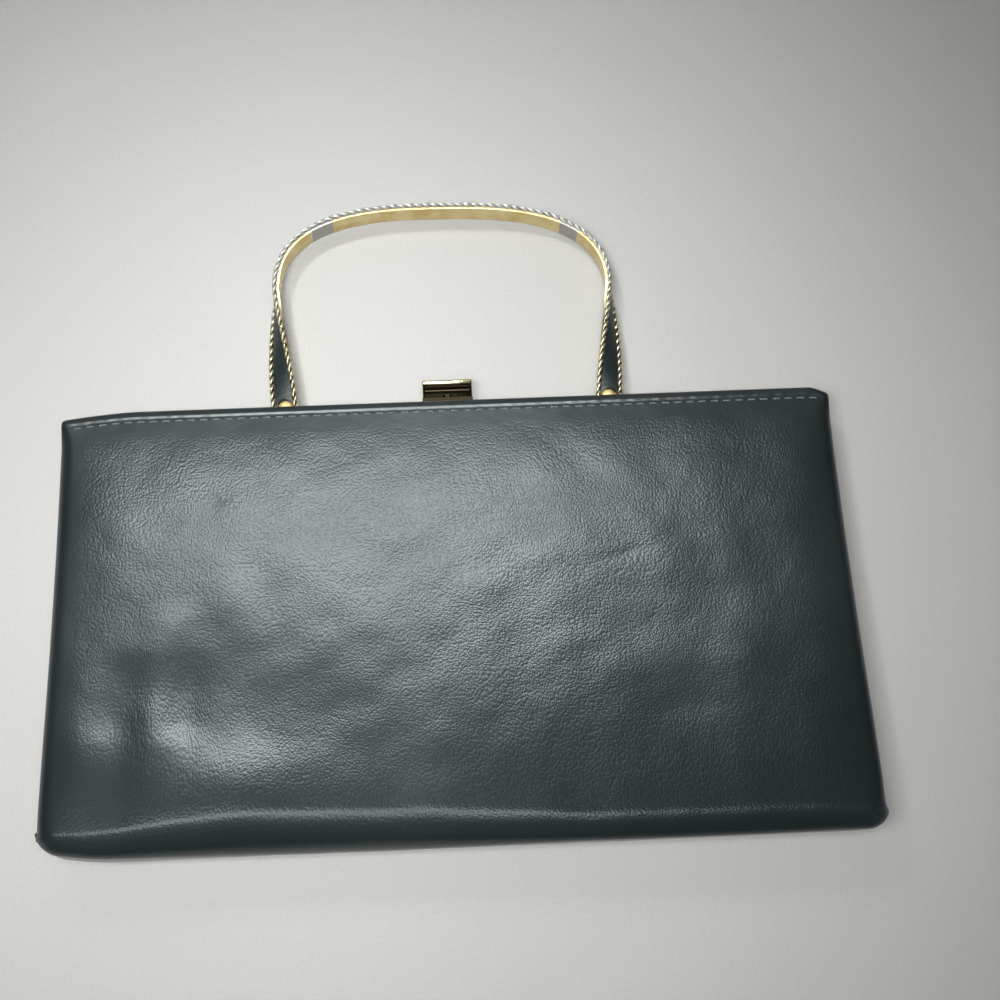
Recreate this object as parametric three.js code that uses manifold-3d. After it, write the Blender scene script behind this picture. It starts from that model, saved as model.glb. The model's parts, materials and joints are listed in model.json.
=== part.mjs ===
// A leather frame bag, an evening clutch with a short rigid handle, lying on its back panel.
// Every piece is shaped in the bag's own frame, in millimetres: x across the bag, y up the bag
// from its base, z from the middle of its depth to the front. One group then lays the bag down.

import * as THREE from 'three';
import { mergeVertices } from 'three/addons/utils/BufferGeometryUtils.js';
import Module from 'manifold-3d';

const wasm = await Module();
wasm.setup();

// Driving dimensions of the leather body
const WIDTH = 266;
const HEIGHT = 151;
const BASE_DEPTH = 34;
const TOP_DEPTH = 21;
const WALL = 1.6;
const BASE_ROLL = 7;
const BASE_FLARE = 1.1;
const BASE_FLARE_REACH = 14;
const SIDE_PULL = 0.8;

// The rolled edges at the body's two ends are tighter at the base
const EDGE_ROLL = 4.5;
const EDGE_ROLL_AT_BASE = 3;
const EDGE_ROLL_TURN = 75;

// The corners: how far in from the end the top edge drops, and the worn corner of the base lifts
const TOP_CORNERS = {
  left: { reach: 24, drop: 2.1 },
  right: { reach: 6, drop: 2.2 },
};
const TOP_CORNER_DEPTH = 30;
const WORN_CORNER = { reach: 3, lift: 1.3, height: 20 };

// Rows of the front, which has folds, and of the flat back
const FRONT_STEPS = 13;
const BACK_STEPS = 4;

// The leather lip turned over the rails, and the stitched groove under it
const LIP_RADIUS = 2.3;
const LIP_RETURN = 3.5;
const STITCH_DROP = 3.4;
const STITCH_DEPTH = 0.55;
const STITCH_REACH = 1.4;

// The soft swell of the front, with its dents and folds: centre, reach along and across the
// fold, the fold's turn in degrees, and its height above the panel, below zero for a hollow
const FRONT_SWELL = 1.6;
const FOLDS_LOW = [7, 17];
const FOLDS_HIGH = [138, 146];
const FRONT_FOLDS = [
  { name: 'long hollow', x: -40, y: 48, along: 45, across: 12, turn: -34, height: -0.6 },
  { name: 'left end bump', x: -118, y: 34, along: 12, across: 7, turn: 80, height: 0.6 },
  { name: 'left end groove', x: -107, y: 39, along: 15, across: 5.5, turn: 80, height: -0.7 },
  { name: 'left ridge', x: -97, y: 45, along: 17, across: 6, turn: 87, height: 0.6 },
  { name: 'second groove', x: -88, y: 41, along: 13, across: 5, turn: 82, height: -0.5 },
  { name: 'low bump', x: -76, y: 20, along: 16, across: 10, turn: 10, height: 0.9 },
  { name: 'right dent', x: 70, y: 39, along: 13, across: 8, turn: -30, height: -0.7 },
  { name: 'right bump', x: 56, y: 47, along: 11, across: 8, turn: -30, height: 0.4 },
];

// The leather ends
const GUSSET_WALL = 1.4;
const GUSSET_INSET = 4;
const GUSSET_FOLD = 11;
const GUSSET_MARGIN = 0.15;
const SEAM_GAP = 0.4;
const GUSSET_TOP = HEIGHT - 19;

// The metal rails
const RAIL_SLIT = 0.5;
const RAIL_OUT = 5.6;
const RAIL_TOP = HEIGHT - 1;
const RAIL_LOW = HEIGHT - 8;
const RAIL_SHEET = 0.9;
const RAIL_LENGTH = WIDTH - 18;
const HINGE_HEIGHT = HEIGHT - 13;
const HINGE_DISC = 2.8;
const HINGE_PLATE = 1.4;
const HINGE_PIN_RADIUS = 1.1;

// The handle: a band with round edges on two legs that spread a little, under a flat arch
const LEG_X = 57;
const LEG_SPREAD = 3.1;
const LEG_EASE = 6;
const ARCH_SPRING = HEIGHT + 45.6;
const ARCH_RISE = 35.6;
const ARCH_POWER = 2.7;
const ARCH_LEAN = 0.018;
const STRAP_END = HEIGHT - 5;
const STRAP_WIDTH = 9.6;
const EDGE_RADIUS = 0.95;
const BAND_BACK = -0.9;
const BAND_FRONT = -0.1;
const TWIST_START = HEIGHT + 4;
const TWIST_END = HEIGHT + 49;
const LEG_STEPS = 14;
const ARCH_STEPS = 24;
const INLAY_WIDTH = 5.6;
const INLAY_BACK = 0.2;
const INLAY_EDGE = 0.75;
const INLAY_CROWN = 1;

// The rivets and the lugs behind the handle's ends
const RIVET_HEIGHT = HEIGHT + 3.5;
const RIVET_HEAD = 2.6;
const RIVET_RIM = 0.2;
const RIVET_DOME = 0.9;
const RIVET_SHANK = 1.3;
const RIVET_TAIL = 2.3;
const RIVET_TAIL_THICK = 0.7;
const LUG_FRONT = -1.5;
const LUG_BACK = -2.9;
const LUG_HALF_WIDTH = 3.2;
const LUG_TOP = RIVET_HEIGHT + 2.6;

// The clasp: a hollowed tab on a pin behind the front rail's catch block
const LEVER_WIDTH = 17.2;
const LEVER_LOW = HEIGHT + 3.7;
const LEVER_TOP = HEIGHT + 9.9;
const LEVER_LOW_Z = 3.4;
const LEVER_TOP_Z = 2.7;
const LEVER_HOLLOW = 1.3;
const LEVER_SHEET = 1.1;
const LEVER_CHEEK = 0.8;
const LEVER_BEAD = 1.1;
const CLASP_PIN_Z = -0.2;
const CLASP_PIN_Y = HEIGHT + 2.2;
const CLASP_PIN_RADIUS = 0.8;
const KNUCKLE_RADIUS = 1.7;
const BARREL_LENGTH = 8;
const EAR_THICK = 1.4;
const CLASP_PIN_REACH = BARREL_LENGTH / 2 + EAR_THICK + 1;
const CATCH_WIDTH = 17.6;
const CATCH_TOP = HEIGHT + 3;
const CATCH_BACK = 2.2;
const CATCH_FRONT = 5;
const PEG_WIDTH = 1.4;
const PEG_RISE = 1.7;
const PEG_SLOT = 2.4;

// Clearance between pieces, and the sides of a round piece
const GAP = 0.3;
const ROUND_SIDES = 14;

// Materials
const leather = (color) => new THREE.MeshStandardMaterial({ color, roughness: 0.55, metalness: 0 });
const gilt = (color) => new THREE.MeshStandardMaterial({ color, roughness: 0.25, metalness: 1 });
const LEATHER_COLOUR = 0x3b484e;
const GUSSET_COLOUR = 0x323d43;
const INLAY_COLOUR = 0x3a474f;
const GOLD_COLOUR = 0xc8a654;
const RAIL_COLOUR = 0xb89a55;

const radians = THREE.MathUtils.degToRad;
const smoothstep = THREE.MathUtils.smoothstep;

// Mesh helpers

// An indexed geometry with only its positions, shared vertices merged.
function plain(geometry) {
  const copy = geometry.clone();
  copy.deleteAttribute('normal');
  copy.deleteAttribute('uv');
  return mergeVertices(copy, 1e-4);
}

function indexed(points, triangles) {
  const geometry = new THREE.BufferGeometry();
  const places = points.flatMap((point) => point.toArray());
  geometry.setAttribute('position', new THREE.Float32BufferAttribute(places, 3));
  geometry.setIndex(triangles.flat());
  return geometry;
}

function solid(geometry) {
  const clean = plain(geometry);
  const vertProperties = new Float32Array(clean.attributes.position.array);
  const triVerts = new Uint32Array(clean.index.array);
  return new wasm.Manifold(new wasm.Mesh({ numProp: 3, vertProperties, triVerts }));
}

function fromSolid(manifold) {
  const mesh = manifold.getMesh();
  const geometry = new THREE.BufferGeometry();
  geometry.setAttribute('position', new THREE.BufferAttribute(new Float32Array(mesh.vertProperties), 3));
  geometry.setIndex(new THREE.BufferAttribute(new Uint32Array(mesh.triVerts), 1));
  return geometry;
}

const joined = (...pieces) => fromSolid(pieces.map(solid).reduce((sum, piece) => sum.add(piece)));
const subtracted = (rest, tool) => rest.subtract(tool);
const cut = (piece, ...tools) => fromSolid(tools.map(solid).reduce(subtracted, solid(piece)));

// The mirror image across the middle of the bag, with its faces still pointing outwards.
function mirrored(geometry) {
  const copy = plain(geometry);
  copy.scale(-1, 1, 1);
  const index = copy.index.array;
  for (let i = 0; i < index.length; i += 3) {
    [index[i], index[i + 1]] = [index[i + 1], index[i]];
  }
  return copy;
}

function box([x0, x1], [y0, y1], [z0, z1]) {
  const geometry = new THREE.BoxGeometry(x1 - x0, y1 - y0, z1 - z0);
  return geometry.translate((x0 + x1) / 2, (y0 + y1) / 2, (z0 + z1) / 2);
}

// A side view, drawn as a Shape of (z, y), extruded across the bag from x0 to x1.
function acrossBag(shape, x0, x1) {
  const geometry = new THREE.ExtrudeGeometry(shape, { depth: x1 - x0, bevelEnabled: false });
  return geometry.rotateY(-Math.PI / 2).translate(x1, 0, 0);
}

const sideShape = (points) => new THREE.Shape(points.map(([z, y]) => new THREE.Vector2(z, y)));

function pinAcross(radius, x0, x1, y, z) {
  const geometry = new THREE.CylinderGeometry(radius, radius, x1 - x0, ROUND_SIDES);
  return geometry.rotateZ(Math.PI / 2).translate((x0 + x1) / 2, y, z);
}

// A wall of even thickness behind a grid of outer points, rows by columns.
function wallBehind(rows, thickness) {
  const rowCount = rows.length;
  const columnCount = rows[0].length;
  const within = (i, count) => THREE.MathUtils.clamp(i, 0, count - 1);
  const at = (i, j) => rows[within(i, rowCount)][within(j, columnCount)];
  const points = rows.flat();
  const inner = [];
  for (let i = 0; i < rowCount; i += 1) {
    for (let j = 0; j < columnCount; j += 1) {
      const along = at(i, j + 1).clone().sub(at(i, j - 1));
      const down = at(i + 1, j).clone().sub(at(i - 1, j));
      const outward = down.cross(along).normalize();
      inner.push(at(i, j).clone().addScaledVector(outward, -thickness));
    }
  }
  const outside = (i, j) => i * columnCount + j;
  const inside = (i, j) => rowCount * columnCount + i * columnCount + j;
  const triangles = [];
  const quad = (a, b, c, d) => triangles.push([a, b, c], [a, c, d]);
  for (let i = 0; i + 1 < rowCount; i += 1) {
    for (let j = 0; j + 1 < columnCount; j += 1) {
      quad(outside(i, j), outside(i + 1, j), outside(i + 1, j + 1), outside(i, j + 1));
      quad(inside(i, j), inside(i, j + 1), inside(i + 1, j + 1), inside(i + 1, j));
    }
    quad(outside(i, 0), inside(i, 0), inside(i + 1, 0), outside(i + 1, 0));
    const last = columnCount - 1;
    quad(outside(i, last), outside(i + 1, last), inside(i + 1, last), inside(i, last));
  }
  for (let j = 0; j + 1 < columnCount; j += 1) {
    quad(outside(0, j), outside(0, j + 1), inside(0, j + 1), inside(0, j));
    const last = rowCount - 1;
    quad(outside(last, j), inside(last, j), inside(last, j + 1), outside(last, j + 1));
  }
  return indexed([...points, ...inner], triangles);
}

// The leather body: one section wrapped round the bag, swept across its width

// Half the bag's depth at a height: both panels are flat planes that close in towards the top.
const halfDepth = (y) => BASE_DEPTH / 2 + ((TOP_DEPTH - BASE_DEPTH) / 2) * (y / HEIGHT);

function frontRelief(x, y) {
  const across = 1 - (2 * x / WIDTH) ** 2;
  const up = Math.sin(Math.PI * THREE.MathUtils.clamp(y / HEIGHT, 0, 1));
  let height = FRONT_SWELL * Math.sqrt(Math.max(across, 0)) * up;
  for (const fold of FRONT_FOLDS) {
    const turn = radians(fold.turn);
    const dx = x - fold.x;
    const dy = y - fold.y;
    const s = (dx * Math.cos(turn) + dy * Math.sin(turn)) / fold.along;
    const t = (dy * Math.cos(turn) - dx * Math.sin(turn)) / fold.across;
    height += fold.height * Math.exp(-(s * s + t * t) / 2);
  }
  return height * smoothstep(y, ...FOLDS_LOW) * (1 - smoothstep(y, ...FOLDS_HIGH));
}

// Half the section, from the lip's inner end to the base, drawn for the front: each row is a point
// of the outer face and the way that the leather's ends roll in there.
function halfSection(faceSteps) {
  const lipCentre = TOP_DEPTH / 2 - LIP_RADIUS;
  const lipBase = HEIGHT - LIP_RADIUS;
  const rollIn = { z: -1, y: 0 };
  const rows = [{ z: lipCentre - LIP_RADIUS, y: lipBase - LIP_RETURN, rollIn }];
  const lipSteps = 6;
  for (let k = 0; k <= lipSteps; k += 1) {
    const angle = Math.PI * (1 - k / lipSteps);
    const z = lipCentre + LIP_RADIUS * Math.cos(angle);
    rows.push({ z, y: lipBase + LIP_RADIUS * Math.sin(angle), rollIn });
  }
  const stitchY = HEIGHT - STITCH_DROP;
  rows.push({ z: halfDepth(stitchY) - STITCH_DEPTH, y: stitchY, rollIn });
  const faceTop = stitchY - STITCH_REACH;
  for (let k = 0; k <= faceSteps; k += 1) {
    const y = THREE.MathUtils.lerp(faceTop, BASE_ROLL, k / faceSteps);
    rows.push({ z: halfDepth(y), y, rollIn, face: true });
  }
  const rollSteps = 5;
  const rollCentre = halfDepth(BASE_ROLL) - BASE_ROLL;
  for (let k = 1; k <= rollSteps; k += 1) {
    const angle = (Math.PI / 2) * (k / rollSteps);
    const [c, s] = [Math.cos(angle), Math.sin(angle)];
    rows.push({ z: rollCentre + BASE_ROLL * c, y: BASE_ROLL - BASE_ROLL * s, rollIn: { z: -c, y: s } });
  }
  return rows;
}

// Stations across the bag, from the middle out to one side: how far across, as a share of the flat
// half, and how far round the rolled edge.
function crossStations() {
  const flat = [0, 0.17, 0.33, 0.48, 0.6, 0.69, 0.77, 0.84, 0.9, 0.96, 1];
  const stations = flat.map((share) => ({ share, turn: 0 }));
  const rollSteps = 4;
  for (let k = 1; k <= rollSteps; k += 1) {
    stations.push({ share: 1, turn: radians(EDGE_ROLL_TURN) * (k / rollSteps) });
  }
  const left = stations.slice(1).reverse().map((station) => ({ ...station, side: -1 }));
  return [...left, ...stations.map((station) => ({ ...station, side: 1 }))];
}

// Half the bag's width at a height: the base stands out a little, and the sides are pulled in.
function halfWidth(y) {
  const flare = BASE_FLARE * (1 - smoothstep(y, 0, BASE_FLARE_REACH));
  const pull = SIDE_PULL * Math.sin(Math.PI * THREE.MathUtils.clamp(y / HEIGHT, 0, 1));
  return WIDTH / 2 + flare - pull;
}

// How much the top edge drops and the worn base corner lifts at a point near the bag's ends.
function cornerShift(x, y, front) {
  const corner = x < 0 ? TOP_CORNERS.left : TOP_CORNERS.right;
  const nearEnd = (reach) => smoothstep(Math.abs(x), WIDTH / 2 - reach, WIDTH / 2);
  const drop = corner.drop * nearEnd(corner.reach) * smoothstep(y, HEIGHT - TOP_CORNER_DEPTH, HEIGHT);
  const worn = front && x < 0 ? nearEnd(WORN_CORNER.reach) : 0;
  const lift = WORN_CORNER.lift * worn * (1 - smoothstep(y, 0, WORN_CORNER.height));
  return lift - drop;
}

function bodyPoint(row, station, front) {
  const radius = THREE.MathUtils.lerp(EDGE_ROLL_AT_BASE, EDGE_ROLL, smoothstep(row.y, 0, 2 * BASE_ROLL));
  const flatHalf = halfWidth(row.y) - radius;
  const x = station.side * (station.share * flatHalf + radius * Math.sin(station.turn));
  const roll = radius * (1 - Math.cos(station.turn));
  const relief = front && row.face ? frontRelief(x, row.y) * Math.cos(station.turn) : 0;
  const z = row.z + row.rollIn.z * roll + relief;
  const y = row.y + row.rollIn.y * roll + cornerShift(x, row.y, front);
  return new THREE.Vector3(x, y, front ? z : -z);
}

function bodyWrap() {
  const stations = crossStations();
  const rowsOf = (steps, front) => halfSection(steps).map(
    (row) => stations.map((station) => bodyPoint(row, station, front)));
  const frontRows = rowsOf(FRONT_STEPS, true);
  const backRows = rowsOf(BACK_STEPS, false).reverse();
  return wallBehind([...frontRows, ...backRows], WALL);
}

// One leather end: it fits inside the body's rolled edges and folds in along its middle.
function gusset() {
  const inset = WALL + SEAM_GAP;
  const lowCorner = BASE_ROLL - inset;
  const edgeAt = (y) => {
    const low = Math.max(BASE_ROLL - y, 0);
    const roundedOff = BASE_ROLL - Math.sqrt(Math.max(lowCorner ** 2 - low ** 2, 0)) - inset;
    return halfDepth(y) - inset - (low > 0 ? roundedOff : 0);
  };
  const heights = [1, 0.76, 0.58, 0.42, 0.28, 0.16, 0.08, 0.035, 0.018, 0.006, 0];
  const half = [0, 0.12, 0.3, 0.5, 0.68, 1 - GUSSET_MARGIN, 1];
  const shares = [...half.slice(1).map((s) => -s).reverse(), ...half];
  const start = inset + GAP;
  const rows = heights.map((share) => {
    const y = THREE.MathUtils.lerp(start, GUSSET_TOP, share);
    const fold = GUSSET_FOLD * smoothstep(y, BASE_ROLL, GUSSET_TOP);
    return shares.map((s) => {
      const reach = Math.min(Math.abs(s) / (1 - GUSSET_MARGIN), 1);
      const depth = (fold / 2) * (1 + Math.cos(Math.PI * reach));
      return new THREE.Vector3(halfWidth(y) - GUSSET_INSET - depth, y, -s * edgeAt(y));
    });
  });
  return wallBehind(rows, GUSSET_WALL);
}

// The rails: folded sheet channels with hinge plates at their ends

function railChannel() {
  const inner = RAIL_SLIT / 2;
  const outline = [
    [inner, RAIL_LOW], [inner, RAIL_TOP], [RAIL_OUT, RAIL_TOP], [RAIL_OUT, RAIL_LOW],
    [RAIL_OUT - RAIL_SHEET, RAIL_LOW], [RAIL_OUT - RAIL_SHEET, RAIL_TOP - RAIL_SHEET],
    [inner + RAIL_SHEET, RAIL_TOP - RAIL_SHEET], [inner + RAIL_SHEET, RAIL_LOW],
  ];
  return acrossBag(sideShape(outline), -RAIL_LENGTH / 2, RAIL_LENGTH / 2);
}

// A plate from the rail down to the hinge, at a distance from the rail's right end.
function hingePlate(fromEnd) {
  const inner = RAIL_SLIT / 2;
  const neck = [
    [inner, RAIL_TOP], [RAIL_OUT, RAIL_TOP], [RAIL_OUT, RAIL_LOW],
    [HINGE_DISC, HINGE_HEIGHT], [-HINGE_DISC, HINGE_HEIGHT], [inner, RAIL_LOW],
  ];
  const x1 = RAIL_LENGTH / 2 - fromEnd;
  const x0 = x1 - HINGE_PLATE;
  const disc = pinAcross(HINGE_DISC, x0, x1, HINGE_HEIGHT, 0);
  const bore = pinAcross(HINGE_PIN_RADIUS + GAP, x0 - GAP, x1 + GAP, HINGE_HEIGHT, 0);
  return cut(joined(acrossBag(sideShape(neck), x0, x1), disc), bore);
}

// The slot that one of the handle's ends goes down in, from z0 to z1.
function strapSlot(side, z0, z1) {
  const half = STRAP_WIDTH / 2 + 2 * GAP;
  return box([side * LEG_X - half, side * LEG_X + half], [RAIL_LOW - GAP, RAIL_TOP + GAP], [z0, z1]);
}

// A round hole from front to back on one leg's rivet.
function rivetHole(side, radius) {
  const hole = new THREE.CylinderGeometry(radius, radius, BASE_DEPTH, ROUND_SIDES);
  return hole.rotateX(Math.PI / 2).translate(side * LEG_X, RIVET_HEIGHT, 0);
}

// The front rail, with the block and the peg that the clasp closes on.
function frameFront() {
  const plate = hingePlate(0);
  const catchBlock = box([-CATCH_WIDTH / 2, CATCH_WIDTH / 2], [RAIL_TOP - RAIL_SHEET, CATCH_TOP],
    [CATCH_BACK, CATCH_FRONT]);
  const peg = box([-PEG_WIDTH / 2, PEG_WIDTH / 2], [RAIL_TOP, CATCH_TOP + PEG_RISE],
    [LEVER_LOW_Z - PEG_WIDTH / 2, LEVER_LOW_Z + PEG_WIDTH / 2]);
  const rail = joined(railChannel(), plate, mirrored(plate), catchBlock, peg);
  const slotFront = EDGE_RADIUS + 2 * GAP;
  return cut(rail, strapSlot(-1, 0, slotFront), strapSlot(1, 0, slotFront));
}

// The back rail is the same channel turned round, with the handle's lugs and the clasp's ears.
function frameBack() {
  const turned = (geometry) => plain(geometry).rotateY(Math.PI);
  const plate = turned(hingePlate(HINGE_PLATE + 2 * GAP));
  const channel = cut(turned(railChannel()), strapSlot(-1, LUG_FRONT, 0), strapSlot(1, LUG_FRONT, 0));
  const lugs = [-1, 1].map((side) => {
    const sides = [side * LEG_X - LUG_HALF_WIDTH, side * LEG_X + LUG_HALF_WIDTH];
    return box(sides, [RAIL_LOW, LUG_TOP], [LUG_BACK, LUG_FRONT]);
  });
  const ears = [-1, 1].map((side) => {
    const near = side * (BARREL_LENGTH / 2 + GAP);
    const far = near + side * EAR_THICK;
    const [x0, x1] = [Math.min(near, far), Math.max(near, far)];
    const disc = pinAcross(KNUCKLE_RADIUS, x0, x1, CLASP_PIN_Y, CLASP_PIN_Z);
    const stem = box([x0, x1], [RAIL_TOP - RAIL_SHEET, CLASP_PIN_Y],
      [CLASP_PIN_Z - KNUCKLE_RADIUS, -RAIL_SLIT / 2]);
    return joined(disc, stem);
  });
  const holes = [-1, 1].map((side) => rivetHole(side, RIVET_SHANK + GAP));
  const boreRadius = CLASP_PIN_RADIUS + GAP;
  const pinBore = pinAcross(boreRadius, -CLASP_PIN_REACH, CLASP_PIN_REACH, CLASP_PIN_Y, CLASP_PIN_Z);
  return cut(joined(channel, plate, mirrored(plate), ...lugs, ...ears), ...holes, pinBore);
}

function framePin() {
  const outer = RAIL_LENGTH / 2 + 2 * GAP;
  const inner = RAIL_LENGTH / 2 - 2 * HINGE_PLATE - 4 * GAP;
  return pinAcross(HINGE_PIN_RADIUS, inner, outer, HINGE_HEIGHT, 0);
}

// The handle: a section carried along the legs and the arch, turning a quarter round in each leg

// A point of one leg's middle line at a height: the leg leans out and is upright where the arch springs.
function legPoint(side, y) {
  const rise = Math.max((y - HEIGHT) / (ARCH_SPRING - HEIGHT), 0);
  const eased = (rise - rise ** LEG_EASE / LEG_EASE) / (1 - 1 / LEG_EASE);
  return new THREE.Vector2(side * (LEG_X + LEG_SPREAD * eased), y);
}

// A point of the arch, a flattened half round, at an angle from its right spring.
function archPoint(angle) {
  const [c, s] = [Math.cos(angle), Math.sin(angle)];
  const x = (LEG_X + LEG_SPREAD) * Math.sign(c) * Math.abs(c) ** (2 / ARCH_POWER);
  return new THREE.Vector2(x, ARCH_SPRING + ARCH_RISE * Math.abs(s) ** (2 / ARCH_POWER));
}

function handleLine() {
  const left = [];
  for (let k = 0; k < LEG_STEPS; k += 1) {
    left.push(legPoint(-1, THREE.MathUtils.lerp(STRAP_END, ARCH_SPRING, k / LEG_STEPS)));
  }
  const right = left.map((p) => new THREE.Vector2(-p.x, p.y)).reverse();
  const arch = [];
  for (let k = 0; k <= ARCH_STEPS; k += 1) {
    arch.push(archPoint(Math.PI * (1 - k / ARCH_STEPS)));
  }
  const line = [...left, ...arch, ...right];
  return line.map((p) => {
    const lean = ARCH_LEAN * p.x * smoothstep(p.y, HEIGHT, ARCH_SPRING + ARCH_RISE);
    return new THREE.Vector2(p.x, p.y - lean);
  });
}

function handleStations() {
  const line = handleLine();
  return line.map((p, i) => {
    const before = line[Math.max(i - 1, 0)];
    const after = line[Math.min(i + 1, line.length - 1)];
    const tangent = after.clone().sub(before).normalize();
    const outward = new THREE.Vector3(-tangent.y, tangent.x, 0);
    const rise = THREE.MathUtils.clamp((p.y - TWIST_START) / (TWIST_END - TWIST_START), 0, 1);
    const twist = (Math.PI / 2) * rise;
    const facing = new THREE.Vector3(0, 0, Math.cos(twist)).addScaledVector(outward, Math.sin(twist));
    const wide = facing.clone().cross(new THREE.Vector3(tangent.x, tangent.y, 0));
    return { centre: new THREE.Vector3(p.x, p.y, 0), wide, facing };
  });
}

// Carries a closed section of (across, out) points along the stations and closes both ends.
function swept(section, stations) {
  const count = section.length;
  const points = stations.flatMap(({ centre, wide, facing }) => section.map(
    ([across, out]) => centre.clone().addScaledVector(wide, across).addScaledVector(facing, out)));
  const triangles = [];
  for (let i = 0; i + 1 < stations.length; i += 1) {
    for (let j = 0; j < count; j += 1) {
      const next = (j + 1) % count;
      const [a, b] = [i * count + j, i * count + next];
      const [c, d] = [b + count, a + count];
      triangles.push([a, b, c], [a, c, d]);
    }
  }
  const caps = THREE.ShapeUtils.triangulateShape(section.map(([x, y]) => new THREE.Vector2(x, y)), []);
  const last = (stations.length - 1) * count;
  for (const [a, b, c] of caps) {
    triangles.push([a, c, b], [last + a, last + b, last + c]);
  }
  return indexed(points, triangles);
}

// The band's section: a flat strip between two round edges.
function strapSection() {
  const edge = STRAP_WIDTH / 2 - EDGE_RADIUS;
  const frontAngle = Math.asin(BAND_FRONT / EDGE_RADIUS);
  const backAngle = Math.asin(BAND_BACK / EDGE_RADIUS);
  const steps = 7;
  const right = [];
  for (let k = 0; k <= steps; k += 1) {
    const angle = THREE.MathUtils.lerp(-Math.PI - backAngle, Math.PI - frontAngle, k / steps);
    right.push([edge + EDGE_RADIUS * Math.cos(angle), EDGE_RADIUS * Math.sin(angle)]);
  }
  const left = right.map(([across, out]) => [-across, out]).reverse();
  return [...right, [0, BAND_FRONT], ...left, [0, BAND_BACK]];
}

function inlaySection() {
  const half = INLAY_WIDTH / 2;
  return [[-half, INLAY_BACK], [0, INLAY_BACK], [half, INLAY_BACK], [half, INLAY_EDGE], [0, INLAY_CROWN],
    [-half, INLAY_EDGE]];
}

function handleStrap() {
  const band = swept(strapSection(), handleStations());
  const radius = RIVET_SHANK + GAP;
  return cut(band, rivetHole(-1, radius), rivetHole(1, radius));
}

function handleInlay() {
  const strip = swept(inlaySection(), handleStations());
  const radius = RIVET_HEAD + 2 * GAP;
  const reach = LEG_X + STRAP_WIDTH;
  const ends = box([-reach, reach], [STRAP_END - STRAP_WIDTH, RIVET_HEIGHT], [-STRAP_WIDTH, STRAP_WIDTH]);
  return cut(strip, ends, rivetHole(-1, radius), rivetHole(1, radius));
}

// A rivet with a domed head on the band, its shank through band and lug, and a flat tail.
function rivet() {
  const headBack = BAND_FRONT + GAP;
  const tailFront = LUG_BACK - GAP;
  const tailBack = tailFront - RIVET_TAIL_THICK;
  const rim = headBack + RIVET_RIM;
  const profile = [[0, tailBack], [RIVET_TAIL, tailBack], [RIVET_TAIL, tailFront], [RIVET_SHANK, tailFront],
    [RIVET_SHANK, headBack], [RIVET_HEAD, headBack]];
  const domeSteps = 4;
  for (let k = 0; k < domeSteps; k += 1) {
    const angle = (Math.PI / 2) * (k / domeSteps);
    profile.push([RIVET_HEAD * Math.cos(angle), rim + RIVET_DOME * Math.sin(angle)]);
  }
  profile.push([0, rim + RIVET_DOME]);
  const lathe = new THREE.LatheGeometry(profile.map(([r, h]) => new THREE.Vector2(r, h)), ROUND_SIDES);
  return plain(lathe).rotateX(Math.PI / 2);
}

// The clasp's lever: a hollowed plate with a rolled top, on a short barrel
function claspLever() {
  const hollowSteps = 8;
  const chord = [];
  for (let k = 0; k <= hollowSteps; k += 1) {
    const share = k / hollowSteps;
    const z = THREE.MathUtils.lerp(LEVER_LOW_Z, LEVER_TOP_Z, share);
    chord.push([z, THREE.MathUtils.lerp(LEVER_LOW, LEVER_TOP, share)]);
  }
  const hollowAt = (k) => LEVER_HOLLOW * Math.sin(Math.PI * (k / hollowSteps));
  const face = chord.map(([z, y], k) => [z - hollowAt(k), y]);
  const behind = (depth) => face.map(([z, y]) => [z - depth, y]).reverse();
  const half = LEVER_WIDTH / 2;
  const plate = acrossBag(sideShape([...face, ...behind(LEVER_SHEET)]), -half, half);
  const cheekShape = sideShape([chord[0], chord[hollowSteps], ...behind(LEVER_SHEET / 2)]);
  const cheek = acrossBag(cheekShape, half - LEVER_CHEEK, half);
  const bead = pinAcross(LEVER_BEAD, -half, half, LEVER_TOP, LEVER_TOP_Z - LEVER_SHEET / 2);
  const barrelEnd = BARREL_LENGTH / 2;
  const barrel = pinAcross(KNUCKLE_RADIUS, -barrelEnd, barrelEnd, CLASP_PIN_Y, CLASP_PIN_Z);
  const plateBack = LEVER_LOW_Z - LEVER_SHEET;
  const halfKnuckle = KNUCKLE_RADIUS / 2;
  const webFoot = CLASP_PIN_Y + halfKnuckle;
  const web = acrossBag(sideShape([
    [CLASP_PIN_Z - halfKnuckle, webFoot], [CLASP_PIN_Z + halfKnuckle, webFoot],
    [plateBack, LEVER_LOW + LEVER_SHEET / 2], [plateBack - LEVER_SHEET / 2, LEVER_LOW + 2 * LEVER_SHEET],
  ]), -barrelEnd, barrelEnd);
  const bore = pinAcross(CLASP_PIN_RADIUS + GAP, -half, half, CLASP_PIN_Y, CLASP_PIN_Z);
  const slot = box([-PEG_SLOT / 2, PEG_SLOT / 2], [LEVER_LOW - GAP, CATCH_TOP + PEG_RISE + 2 * GAP],
    [LEVER_LOW_Z - PEG_SLOT / 2, LEVER_LOW_Z + PEG_SLOT / 2]);
  return cut(joined(plate, cheek, mirrored(cheek), bead, barrel, web), bore, slot);
}

function claspPin() {
  return pinAcross(CLASP_PIN_RADIUS, -CLASP_PIN_REACH, CLASP_PIN_REACH, CLASP_PIN_Y, CLASP_PIN_Z);
}

// The assembly

const bag = new THREE.Group();

function place(name, geometry, material) {
  const mesh = new THREE.Mesh(geometry, material);
  mesh.name = name;
  bag.add(mesh);
  return mesh;
}

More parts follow.
